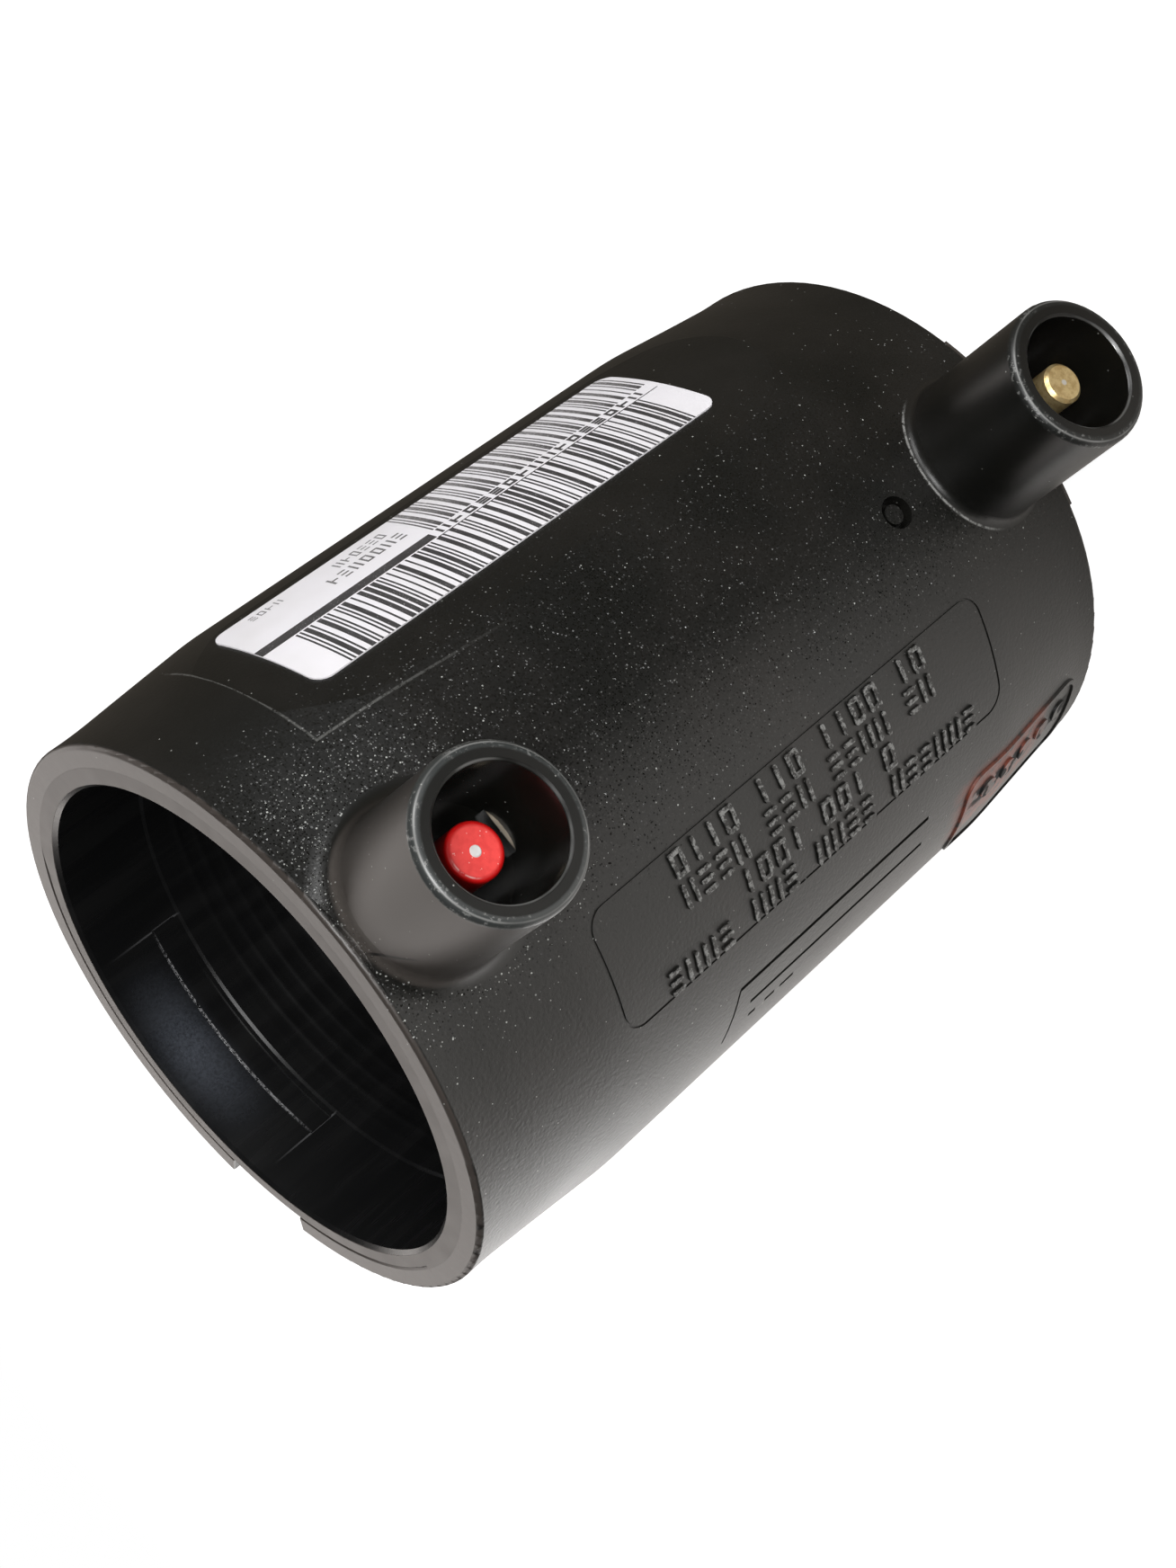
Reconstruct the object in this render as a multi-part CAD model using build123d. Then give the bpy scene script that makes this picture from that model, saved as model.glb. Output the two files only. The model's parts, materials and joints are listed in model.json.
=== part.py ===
from build123d import *
import os
from math import cos, radians, sin, sqrt

# An electrofusion coupler for 50 mm polyethylene pipe. It stands on its lower end.
# Origin: on the bore axis, at the lower end face. +Z is up the bore. The terminals point to -Y.
# Millimetres. A "bearing" is an angle round the bore from -Y, positive towards -X.
# A "drop" is a distance down from the upper end face.

# Outer body
LENGTH = 91.0
BODY_R = 30.9
END_R = 29.7
END_LAND = 2.8              # straight part before each taper
TAPER_LENGTH = 17.4
TAPER_BLEND_R = 45.0
END_EDGE_R = 0.5
SEAM_R = 27.3               # where the outer body meets the inner sleeve
SEAM_CHAMFER = 0.2

# Bore
FUSION_BORE_R = 25.2
ENTRY_BORE_R = 25.4
ENTRY_LENGTH = 10.0
ENTRY_STEP = 0.3            # length of the slope between the two bores
MOUTH_CHAMFER = 0.4
STOP_R = 23.9
STOP_WIDTH = 3.0
POCKET_DEPTH = 0.3          # shallow pocket in the wall of each entry
POCKET_DROPS = (6.8, 9.6)
POCKET_BEARINGS = (149.5, 210.0)

# Terminal shrouds, measured out from the bore axis
UPPER_TERMINAL_DROP = 8.4
LOWER_TERMINAL_DROP = 83.7
SHROUD_TOP = 46.5
SHROUD_FLOOR = 35.6
SHROUD_R = 7.3
SHROUD_DRAFT = 0.3          # growth in radius from the mouth to the body
SHROUD_EDGE_R = 0.8
SOCKET_R = 5.5
SOCKET_CHAMFER = 0.25
UPPER_BASE_FILLET = 2.6
LOWER_BASE_FILLET = 1.0
BASE_CLEAR_BEARING = 20.0   # the lower rim's round stops this far either side of the shroud
LEDGE_OFFSET = 5.1          # moulded ledge on the floor of the upper socket
LEDGE_HEIGHT = 0.9

# Terminals, measured out from the bore axis
PIN_R = 2.0
PIN_TOP = 44.1
PIN_CHAMFER = 0.3
ROOT_R = 3.0
ROOT_BOTTOM = 31.2
ROOT_HEIGHT = 2.4
NECK_R = 2.3                # the pin's thicker shank, inside the moulding
COLLAR_R = 2.48
COLLAR_TOP = 41.0
COLLAR_EDGE_R = 0.35
CORE_R = 1.9                # contact under the collar
CORE_TOP = 40.2
LINER_R = 1.3               # the collar's inner tube, which insulates the resistor
RESISTOR_R = 0.8
RESISTOR_BOTTOM = 35.9
RESISTOR_TOP = 39.2
STUD_TIP_R = 0.5
STUD_PROUD = 0.1

# Heating wire
WIRE_R = 0.3
COIL_R = 26.15
COIL_DROP = 12.4            # first close turn, from either end face
COIL_PITCH = 1.85
COIL_TURNS = 12
WIRE_GAP = 0.03             # the channel is larger than the wire by this much
LINK_BEARING = 180.0
BEAD_RATIO = 1.2            # bead at each lead's bend, against the wire's radius

# Label and the sunk pad below it
PAD_DROPS = (10.7, 67.0)
PAD_RAMP_END = 80.5
PAD_BEARINGS = (-70.0, -29.3)
PAD_CURVE_R = 51.2
LABEL_DROPS = (15.3, 67.0)
LABEL_EDGES = (-6.25, 9.35)   # either side of the pad's middle line
LABEL_CORNER_R = 1.6
LABEL_THICK = 0.15

# Panel of raised marks
PANEL_DROPS = (18.2, 72.8)
PANEL_BEARINGS = (18.9, 42.7)
PANEL_CORNER_R = 2.4
FINE_LINE = 0.25
FINE_DEPTH = 0.12
MARK_HEIGHT = 0.25
MARK_STROKE = 0.45
MARK_TALL = 2.5
MARK_WIDE = 1.6
MARK_STEP = 2.25
MARK_ROWS = ((28.4, 62.2, 22.3), (28.3, 62.2, 28.0), (34.7, 55.5, 33.8), (23.9, 66.9, 39.8))
MARK_GAPS = (4, 8, 13)      # places along a row that stay empty

# Lined panel and badge outline
LINE_WIDTH = 0.5
LINE_DEPTH = 0.3
LONG_LINES = ((32.5, 60.8, 54.3), (34.2, 60.3, 60.5))
SLANT_LINE = ((32.5, 54.3), (30.9, 67.0))
DASHES = ((34.4, 35.4), (36.8, 38.2), (39.0, 41.0))
DASH_BEARING = 65.0
BADGE_DROPS = (67.5, 88.0)
BADGE_BEARINGS = (55.5, 79.0)
BADGE_CORNER_R = 2.5
BADGE_LINE = 0.5
BADGE_HEIGHT = 0.25
BADGE_DOTS = 5
BADGE_DOT_R = 1.2
BADGE_DOT_BEARING = 62.0
BADGE_FIRST_DOT = 71.5
BADGE_DOT_STEP = 3.4

# Fusion indicators and the notch in the upper end
WELL_DROPS = (21.0, 70.0)
WELL_R = 1.65
WELL_DEPTH = 2.0
PIP_R = 1.0
PIP_BELOW = 0.5
NOTCH_BEARINGS = (138.0, 158.0)
NOTCH_DEPTH = 2.4
NOTCH_CORNER_R = 0.5

CLEAR = 5.0                 # how far a cutting shape runs past what it cuts
UPPER_TERMINAL_Z = LENGTH - UPPER_TERMINAL_DROP
LOWER_TERMINAL_Z = LENGTH - LOWER_TERMINAL_DROP


def polar_angle(bearing):
    """Angle from +X, anticlockwise, of a bearing."""
    return -90.0 - bearing


def outward(bearing, radius, drop):
    """A plane at a bearing and drop, facing outwards, with its x axis level and its y axis up."""
    turn = radians(polar_angle(bearing))
    out = Vector(cos(turn), sin(turn), 0)
    return Plane(origin=out * radius + Vector(0, 0, LENGTH - drop),
                 x_dir=Vector(0, 0, 1).cross(out), z_dir=out)


def level_offset(bearing, middle):
    """Where a bearing on the body lies along the level axis of the plane at the middle bearing."""
    return -BODY_R * sin(radians(bearing - middle))


def along_terminal(z):
    """A plane on the bore axis whose z axis is a terminal's axis, towards -Y."""
    return Plane(origin=(0, 0, z), x_dir=(1, 0, 0), z_dir=(0, -1, 0))


def cylinder(radius, low, high):
    """A cylinder on the z axis between two heights."""
    return Pos(0, 0, (low + high) / 2) * Cylinder(radius, high - low)


def turned(points):
    """A solid turned round the z axis from a closed outline of (radius, height) points."""
    return revolve(Plane.XZ * make_face(Polyline(*points, close=True).edges()), Axis.Z)


def sector(inner, outer, drops, bearings):
    """A block bent round the bore, between two radii, two drops and two bearings."""
    low, high = LENGTH - max(drops), LENGTH - min(drops)
    wedge = Cylinder(outer, high - low, arc_size=max(bearings) - min(bearings), align=None)
    block = Pos(0, 0, low) * Rot(0, 0, polar_angle(max(bearings))) * wedge
    return block - cylinder(inner, low - CLEAR, high + CLEAR)


def tapered_bar(offset):
    """A solid bar with the body's tapered outline, grown by an offset, longer than the body."""
    radii = (END_R + offset, BODY_R + offset)
    side = FilletPolyline(
        (radii[0], -CLEAR), (radii[0], END_LAND), (radii[1], TAPER_LENGTH),
        (radii[1], LENGTH - TAPER_LENGTH), (radii[0], LENGTH - END_LAND), (radii[0], LENGTH + CLEAR),
        radius=TAPER_BLEND_R)
    core = Polyline((radii[0], LENGTH + CLEAR), (0, LENGTH + CLEAR), (0, -CLEAR), (radii[0], -CLEAR))
    return revolve(Plane.XZ * make_face(side.edges() + core.edges()), Axis.Z)


def skin(inner, outer):
    """The layer between two offsets from the body's outside."""
    return tapered_bar(outer) - tapered_bar(inner)


def on_body(bearing, drop, sketch, inner, outer):
    """A flat sketch pressed square onto the body, as a layer between two offsets from its outside."""
    stamp = extrude(outward(bearing, BODY_R, drop) * sketch, CLEAR, both=True)
    return stamp & skin(inner, outer)


def outline_sketch(width, height, corner, line):
    """A rounded rectangle drawn with a line of this width."""
    return RectangleRounded(width, height, corner) - RectangleRounded(
        width - 2 * line, height - 2 * line, corner - line)


# Outer body

def shroud(z):
    """One solid terminal shroud: a drafted stub with a rounded mouth edge."""
    stub = turned([(0, SEAM_R), (SHROUD_R + SHROUD_DRAFT, SEAM_R), (SHROUD_R, SHROUD_TOP), (0, SHROUD_TOP)])
    mouth = stub.faces().sort_by(Axis.Z)[-1].edges()
    return along_terminal(z) * fillet(mouth, SHROUD_EDGE_R)


def base_edges(body, z):
    """The edges where the shroud at this height meets the body's outside."""
    reach = SHROUD_R + SHROUD_DRAFT + 1.0
    edges = []
    for edge in body.edges():
        box = edge.bounding_box()
        level_with = abs(box.center().Z - z) < reach and box.size.Z < 2 * reach
        narrow = -reach < box.min.X and box.max.X < reach
        on_skin = -BODY_R - 0.5 < box.min.Y and box.max.Y < -END_R + 1.5
        if level_with and narrow and on_skin:
            edges.append(edge)
    return edges


def rim_round(end, bearings):
    """What the round on an end's outer edge removes, between two bearings.

    The end is 1 at the top and -1 below.
    """
    face = LENGTH if end > 0 else 0.0
    centre = (END_R - END_EDGE_R, face - end * END_EDGE_R)
    corner = Pos(centre[0] + 1, centre[1] + end) * Rectangle(2, 2) - Pos(*centre) * Circle(END_EDGE_R)
    tool = revolve(Plane.XZ * corner, Axis.Z)
    drops = (-CLEAR, LENGTH + CLEAR)
    return tool if bearings is None else tool & sector(1.0, BODY_R + CLEAR, drops, bearings)


def body_with_shrouds():
    """The outer moulding before its sockets, pad and marks are cut."""
    body = tapered_bar(0) + shroud(UPPER_TERMINAL_Z) + shroud(LOWER_TERMINAL_Z)
    body = fillet(base_edges(body, UPPER_TERMINAL_Z), UPPER_BASE_FILLET)
    body = fillet(base_edges(body, LOWER_TERMINAL_Z), LOWER_BASE_FILLET)
    slab = Pos(0, 0, LENGTH / 2) * Box(4 * SHROUD_TOP, 4 * SHROUD_TOP, LENGTH)
    tube = (body & slab) - cylinder(SEAM_R, -CLEAR, LENGTH + CLEAR)
    tube -= rim_round(1, None)
    return tube - rim_round(-1, (BASE_CLEAR_BEARING, 360 - BASE_CLEAR_BEARING))


def socket_hollow(z, has_ledge):
    """What is removed inside a shroud: the socket and its chamfer, less the ledge on its floor."""
    hollow = cylinder(SOCKET_R, SHROUD_FLOOR, SHROUD_TOP + CLEAR)
    hollow += turned([(0, SHROUD_TOP - SOCKET_CHAMFER), (SOCKET_R, SHROUD_TOP - SOCKET_CHAMFER),
                      (SOCKET_R + SOCKET_CHAMFER, SHROUD_TOP), (0, SHROUD_TOP)])
    if has_ledge:
        depth = 2 * (SOCKET_R - LEDGE_OFFSET)
        hollow -= Pos(0, -LEDGE_OFFSET - depth / 2, SHROUD_FLOOR + LEDGE_HEIGHT / 2) * Box(
            2 * SOCKET_R, depth, LEDGE_HEIGHT)
    return along_terminal(z) * hollow


def pad_frame():
    """The plane on the pad's middle line at the upper end, its x axis level, facing outwards."""
    return outward(sum(PAD_BEARINGS) / 2, 0, 0)


def pad_centre():
    """How far the centre of the pad's curve lies from the bore axis, on the side away from the pad."""
    half = radians(max(PAD_BEARINGS) - min(PAD_BEARINGS)) / 2
    chord = BODY_R * sin(half)
    return sqrt(PAD_CURVE_R ** 2 - chord ** 2) - BODY_R * cos(half)


def pad_hollow():
    """What is removed above the pad: straight along the label, then a ramp back out to the body."""
    frame = pad_frame()
    outer = BODY_R + CLEAR
    half_width = BODY_R * sin(radians(max(PAD_BEARINGS) - min(PAD_BEARINGS)) / 2) + 0.5
    block = Rectangle(2 * half_width, outer, align=(Align.CENTER, Align.MIN))
    section = block - Pos(0, -pad_centre()) * Circle(PAD_CURVE_R)
    level = Plane(origin=frame.origin, x_dir=frame.x_dir, z_dir=(0, 0, -1))
    if level.y_dir.dot(frame.z_dir) < 0:
        level = Plane(origin=frame.origin, x_dir=-frame.x_dir, z_dir=(0, 0, -1))
    straight = extrude(level.offset(PAD_DROPS[0]) * section, PAD_DROPS[1] - PAD_DROPS[0])
    rise = BODY_R - (PAD_CURVE_R - pad_centre())
    run = PAD_RAMP_END - PAD_DROPS[1]
    ramp_dir = Vector(0, 0, -run) + frame.z_dir * rise
    ramp = extrude(level.offset(PAD_DROPS[1]) * section, ramp_dir.length * 1.3, dir=ramp_dir.normalized())
    return straight + ramp


def mark_strokes(kind):
    """The strokes of one kind of raised mark, as (across, along, wide, tall) in the mark's own plane.

    The four kinds are a frame, a pair of bars, one bar and three rungs.
    """
    edge = (MARK_WIDE - MARK_STROKE) / 2
    end = (MARK_TALL - MARK_STROKE) / 2
    sides = [(0, edge, MARK_TALL, MARK_STROKE), (0, -edge, MARK_TALL, MARK_STROKE)]
    rungs = [(end, 0, MARK_STROKE, MARK_WIDE), (-end, 0, MARK_STROKE, MARK_WIDE)]
    middle_rung = [(0, 0, MARK_STROKE, MARK_WIDE)]
    kinds = (sides + rungs, sides, [(0, 0, MARK_TALL, MARK_STROKE)], rungs + middle_rung)
    return kinds[kind % len(kinds)]


def raised_marks():
    """Four rows of plain raised marks, as separate round-ended blocks set into the body."""
    blocks = []
    for row, (first, last, bearing) in enumerate(MARK_ROWS):
        count = int((last - first) / MARK_STEP) + 1
        for place in range(count):
            if place in MARK_GAPS:
                continue
            plane = outward(bearing, BODY_R, first + MARK_WIDE / 2 + place * MARK_STEP)
            for across, along, wide, tall in mark_strokes(row + place * (place + 1)):
                turn = 0 if wide > tall else 90
                stroke = Rot(0, 0, turn) * SlotOverall(max(wide, tall), min(wide, tall))
                blocks.append(plane * Pos(across, along) * extrude(stroke, MARK_HEIGHT, both=True))
    return blocks


def panel_line():
    """The fine line round the marks."""
    middle = sum(PANEL_BEARINGS) / 2
    width = 2 * level_offset(PANEL_BEARINGS[0], middle)
    height = PANEL_DROPS[1] - PANEL_DROPS[0]
    sketch = outline_sketch(width, height, PANEL_CORNER_R, FINE_LINE)
    return on_body(middle, sum(PANEL_DROPS) / 2, sketch, -FINE_DEPTH, CLEAR)


def lined_panel():
    """Sunk lines of the panel below the marks: two long lines, dashes and a slanted edge."""
    tools = []
    lines = list(LONG_LINES) + [(first, last, DASH_BEARING) for first, last in DASHES]
    for first, last, bearing in lines:
        bar = Rectangle(LINE_WIDTH, last - first)
        tools.append(on_body(bearing, (first + last) / 2, bar, -LINE_DEPTH, CLEAR))
    (drop_a, bearing_a), (drop_b, bearing_b) = SLANT_LINE
    middle, drop = (bearing_a + bearing_b) / 2, (drop_a + drop_b) / 2
    start = (level_offset(bearing_a, middle), drop - drop_a)
    end = (level_offset(bearing_b, middle), drop - drop_b)
    slant = trace(Line(start, end), FINE_LINE)
    tools.append(on_body(middle, drop, slant, -LINE_DEPTH, CLEAR))
    return tools


def badge():
    """A plain badge: a raised rounded outline with a row of round studs."""
    middle = sum(BADGE_BEARINGS) / 2
    width = 2 * level_offset(BADGE_BEARINGS[0], middle)
    height = BADGE_DROPS[1] - BADGE_DROPS[0]
    sketch = outline_sketch(width, height, BADGE_CORNER_R, BADGE_LINE)
    shapes = [on_body(middle, sum(BADGE_DROPS) / 2, sketch, -FINE_LINE, BADGE_HEIGHT)]
    for place in range(BADGE_DOTS):
        drop = BADGE_FIRST_DOT + place * BADGE_DOT_STEP
        shapes.append(on_body(BADGE_DOT_BEARING, drop, Circle(BADGE_DOT_R), -FINE_LINE, BADGE_HEIGHT))
    return shapes


def indicator_well(drop):
    """What is removed for one fusion indicator: a round well with a short pip left standing in it."""
    well = Cylinder(WELL_R, 2 * WELL_DEPTH) - Cylinder(PIP_R, 3 * WELL_DEPTH)
    above_pip = Pos(0, 0, WELL_DEPTH / 2 - PIP_BELOW) * Cylinder(PIP_R, WELL_DEPTH)
    return outward(0, BODY_R, drop) * (well + above_pip)


def end_notch():
    """What is removed for the notch in the upper end, with its outer corners rounded."""
    cut = sector(SEAM_R - 1.0, BODY_R + CLEAR, (-CLEAR, NOTCH_DEPTH), NOTCH_BEARINGS)
    floor = cut.faces().sort_by(Axis.Z)[0]
    sides = [e for e in floor.edges() if e.geom_type == GeomType.LINE]
    return fillet(sides, NOTCH_CORNER_R)


def outer_body():
    """The over-moulded body, one piece with its shrouds, pad, marks, wells and notch."""
    body = body_with_shrouds()
    body = body - pad_hollow() - panel_line() - lined_panel() - end_notch()
    body = body - [indicator_well(drop) for drop in WELL_DROPS]
    body = body - socket_hollow(UPPER_TERMINAL_Z, True) - socket_hollow(LOWER_TERMINAL_Z, False)
    body = body + raised_marks() + badge()
    body = body - lower_terminal_pin() - core_blank() - heating_wire(WIRE_GAP)
    inner = [e for e in body.edges() if e.geom_type == GeomType.CIRCLE and abs(e.radius - SEAM_R) < 0.01]
    ends = [e for e in inner if abs(e.center().Z) < 0.01 or abs(e.center().Z - LENGTH) < 0.01]
    return chamfer(ends, SEAM_CHAMFER)


# Inner sleeve and heating wire

def bore_outline():
    """Half of the bore's outline, as (radius, height) points from the lower face to the middle."""
    return [
        (ENTRY_BORE_R + MOUTH_CHAMFER, 0), (ENTRY_BORE_R, MOUTH_CHAMFER), (ENTRY_BORE_R, ENTRY_LENGTH),
        (FUSION_BORE_R, ENTRY_LENGTH + ENTRY_STEP), (FUSION_BORE_R, (LENGTH - STOP_WIDTH) / 2 - ENTRY_STEP),
        (STOP_R, (LENGTH - STOP_WIDTH) / 2)]


def inner_sleeve():
    """The coil carrier: a tube with two entries, two fusion zones, a centre stop and the wire's channel."""
    lower = bore_outline()
    upper = [(radius, LENGTH - height) for radius, height in reversed(lower)]
    outside = [(SEAM_R - SEAM_CHAMFER, LENGTH), (SEAM_R, LENGTH - SEAM_CHAMFER),
               (SEAM_R, SEAM_CHAMFER), (SEAM_R - SEAM_CHAMFER, 0)]
    sleeve = turned(lower + upper + outside)
    for drops in (POCKET_DROPS, [LENGTH - drop for drop in POCKET_DROPS]):
        sleeve -= sector(FUSION_BORE_R - 1.0, ENTRY_BORE_R + POCKET_DEPTH, drops, POCKET_BEARINGS)
    return sleeve - heating_wire(WIRE_GAP)


def axial_wire(radius, bearing, low, high):
    """A straight length of wire along the bore, at the windings' radius, between two heights."""
    turn = radians(polar_angle(bearing))
    return Pos(COIL_R * cos(turn), COIL_R * sin(turn), 0) * cylinder(radius, low, high)


def heating_wire(extra=0.0):
    """The resistance wire from terminal to terminal, grown by an extra radius.

    Each close winding is the thin band that its turns fill. A straight link joins the two bands at
    the back, and a lead runs from each band's outer end to its terminal.
    """
    radius = WIRE_R + extra
    winding = COIL_TURNS * COIL_PITCH
    zones = ((COIL_DROP, COIL_DROP + winding), (LENGTH - COIL_DROP - winding, LENGTH - COIL_DROP))
    wire = axial_wire(radius, LINK_BEARING, zones[0][1] - WIRE_R, zones[1][0] + WIRE_R)
    for low, high in zones:
        core = cylinder(COIL_R - radius, low - CLEAR, high + CLEAR)
        wire += cylinder(COIL_R + radius, low - extra, high + extra) - core
    for terminal, zone_end in ((LOWER_TERMINAL_Z, zones[0][0]), (UPPER_TERMINAL_Z, zones[1][1])):
        inside = zone_end + WIRE_R if zone_end > terminal else zone_end - WIRE_R
        wire += axial_wire(radius, 0, min(terminal, inside), max(terminal, inside))
        wire += Pos(0, -COIL_R, terminal) * Sphere(radius * BEAD_RATIO)
        wire += along_terminal(terminal) * cylinder(radius, COIL_R, ROOT_BOTTOM)
    return wire


# Terminals

def lower_terminal_pin():
    """The bare brass pin, with the flange that holds it in the moulding."""
    pin = turned([
        (0, ROOT_BOTTOM), (ROOT_R, ROOT_BOTTOM), (ROOT_R, ROOT_BOTTOM + ROOT_HEIGHT),
        (NECK_R, ROOT_BOTTOM + ROOT_HEIGHT), (NECK_R, SHROUD_FLOOR), (PIN_R, SHROUD_FLOOR),
        (PIN_R, PIN_TOP - PIN_CHAMFER), (PIN_R - PIN_CHAMFER, PIN_TOP), (0, PIN_TOP)])
    return along_terminal(LOWER_TERMINAL_Z) * pin


def core_blank():
    """The upper contact before its bore: the same flange, and a shank that the collar covers."""
    blank = turned([
        (0, ROOT_BOTTOM), (ROOT_R, ROOT_BOTTOM), (ROOT_R, ROOT_BOTTOM + ROOT_HEIGHT),
        (CORE_R, ROOT_BOTTOM + ROOT_HEIGHT), (CORE_R, CORE_TOP), (0, CORE_TOP)])
    return along_terminal(UPPER_TERMINAL_Z) * blank


def upper_terminal_pin():
    """The metal contact under the red collar, bored out for the resistor and its liner."""
    hole = cylinder(LINER_R, RESISTOR_BOTTOM, CORE_TOP + CLEAR)
    return core_blank() - along_terminal(UPPER_TERMINAL_Z) * hole


def red_collar():
    """The red cap: an outer sleeve, a top with a small hole, and an inner tube round the resistor."""
    cap = cylinder(COLLAR_R, SHROUD_FLOOR, COLLAR_TOP)
    cap = fillet(cap.faces().sort_by(Axis.Z)[-1].edges(), COLLAR_EDGE_R)
    cap -= cylinder(CORE_R, SHROUD_FLOOR - CLEAR, CORE_TOP) - cylinder(LINER_R, RESISTOR_BOTTOM, CORE_TOP)
    cap -= cylinder(RESISTOR_R, SHROUD_FLOOR - CLEAR, CORE_TOP)
    cap -= cylinder(STUD_TIP_R, CORE_TOP - CLEAR, COLLAR_TOP + CLEAR)
    return along_terminal(UPPER_TERMINAL_Z) * cap


def ident_resistor():
    """The small resistor that tells the welding unit which fitting it is on."""
    return along_terminal(UPPER_TERMINAL_Z) * cylinder(RESISTOR_R, RESISTOR_BOTTOM, RESISTOR_TOP)


def contact_stud():
    """The stud on top of the resistor, whose tip shows in the middle of the collar."""
    top = COLLAR_TOP + STUD_PROUD
    stud = turned([
        (0, RESISTOR_TOP), (RESISTOR_R, RESISTOR_TOP), (RESISTOR_R, CORE_TOP), (STUD_TIP_R, CORE_TOP),
        (STUD_TIP_R, COLLAR_TOP), (STUD_TIP_R - STUD_PROUD, top), (0, top)])
    return along_terminal(UPPER_TERMINAL_Z) * stud


# Label

def barcode_label():
    """The paper label, bent to the pad, with rounded corners."""
    frame = pad_frame()
    centre = frame.z_dir * -pad_centre()
    low, high = LENGTH - max(LABEL_DROPS), LENGTH - min(LABEL_DROPS)
    sheet = Pos(centre.X, centre.Y, 0) * (
        cylinder(PAD_CURVE_R + LABEL_THICK, low - CLEAR, high + CLEAR)
        - cylinder(PAD_CURVE_R, low - 2 * CLEAR, high + 2 * CLEAR))
    width = max(LABEL_EDGES) - min(LABEL_EDGES)
    outline = Pos(sum(LABEL_EDGES) / 2, (low + high) / 2 - LENGTH) * RectangleRounded(
        width, high - low, LABEL_CORNER_R)
    return sheet & extrude(frame * outline, BODY_R + CLEAR)


NODES = {
    "outer_body": outer_body,
    "inner_sleeve": inner_sleeve,
    "heating_wire": heating_wire,
    "lower_terminal_pin": lower_terminal_pin,
    "upper_terminal_pin": upper_terminal_pin,
    "red_collar": red_collar,
    "ident_resistor": ident_resistor,
    "contact_stud": contact_stud,
    "barcode_label": barcode_label,
}


def main():
    """Builds each piece and writes it to its own file."""
    os.makedirs("parts", exist_ok=True)
    for name, make in NODES.items():
        piece = make()
        export_step(piece, f"parts/{name}.step")
        print(f"{name}: {len(piece.solids())} solid, {piece.volume / 1000:.3f} cm3, valid {piece.is_valid}")


if __name__ == "__main__":
    main()
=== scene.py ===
import json
import logging
import math
from dataclasses import dataclass, field
from typing import Any, Mapping, Sequence, Union

import bmesh
import bpy
import numpy as np
from mathutils import Euler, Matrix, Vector


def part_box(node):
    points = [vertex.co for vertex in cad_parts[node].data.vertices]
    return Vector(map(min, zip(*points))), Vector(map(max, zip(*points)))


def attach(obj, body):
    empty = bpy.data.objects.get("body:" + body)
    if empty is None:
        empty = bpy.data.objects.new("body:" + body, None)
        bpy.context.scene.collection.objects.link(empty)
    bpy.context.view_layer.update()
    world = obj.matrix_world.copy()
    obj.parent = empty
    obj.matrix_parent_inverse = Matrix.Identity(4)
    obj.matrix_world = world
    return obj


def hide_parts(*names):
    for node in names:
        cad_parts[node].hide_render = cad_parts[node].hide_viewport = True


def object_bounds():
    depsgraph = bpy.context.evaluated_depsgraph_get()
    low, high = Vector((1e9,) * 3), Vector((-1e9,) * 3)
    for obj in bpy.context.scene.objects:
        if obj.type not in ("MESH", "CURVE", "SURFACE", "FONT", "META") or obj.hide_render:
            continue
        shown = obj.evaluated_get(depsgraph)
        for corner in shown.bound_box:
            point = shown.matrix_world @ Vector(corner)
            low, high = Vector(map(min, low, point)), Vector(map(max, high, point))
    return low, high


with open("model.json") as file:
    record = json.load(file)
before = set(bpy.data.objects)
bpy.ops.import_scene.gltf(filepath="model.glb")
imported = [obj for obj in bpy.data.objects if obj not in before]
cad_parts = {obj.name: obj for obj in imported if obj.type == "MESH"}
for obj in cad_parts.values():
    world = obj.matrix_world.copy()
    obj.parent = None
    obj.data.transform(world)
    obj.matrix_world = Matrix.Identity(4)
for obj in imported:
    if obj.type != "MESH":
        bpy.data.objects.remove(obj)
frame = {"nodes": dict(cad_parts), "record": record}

"""An electrofusion coupler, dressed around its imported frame.

The frame's own units hold here: metres, +Z up the bore, terminals to -Y. Sizes are written in
millimetres and scaled once, as they reach a mesh. A bearing is an angle round the bore from -Y,
positive towards -X, and a drop is a distance down from the upper end face.
"""

LOG = logging.getLogger("coupler")
MM = 0.001
CAD_BOX = [list(corner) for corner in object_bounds()]
MOUNTS = {mount["name"]: mount for mount in frame["record"]["mounts"]}
LENGTH = (CAD_BOX[1][2] - CAD_BOX[0][2]) / MM
FUSION_BORE_R = MOUNTS["upper_socket"]["dims"]["r_mm"]
UPPER_TERMINAL_Z = MOUNTS["upper_terminal"]["pos_m"][2] / MM
LOWER_TERMINAL_Z = MOUNTS["lower_terminal"]["pos_m"][2] / MM
SLEEVE_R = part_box("inner_sleeve")[1].x / MM
BODY_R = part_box("outer_body")[1].x / MM

Colour = tuple[float, float, float]
Point = tuple[float, float, float]
Span = tuple[float, float]
Number = Union["Value", float]
WHITE: Colour = (1.0, 1.0, 1.0)


# Shader building

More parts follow.
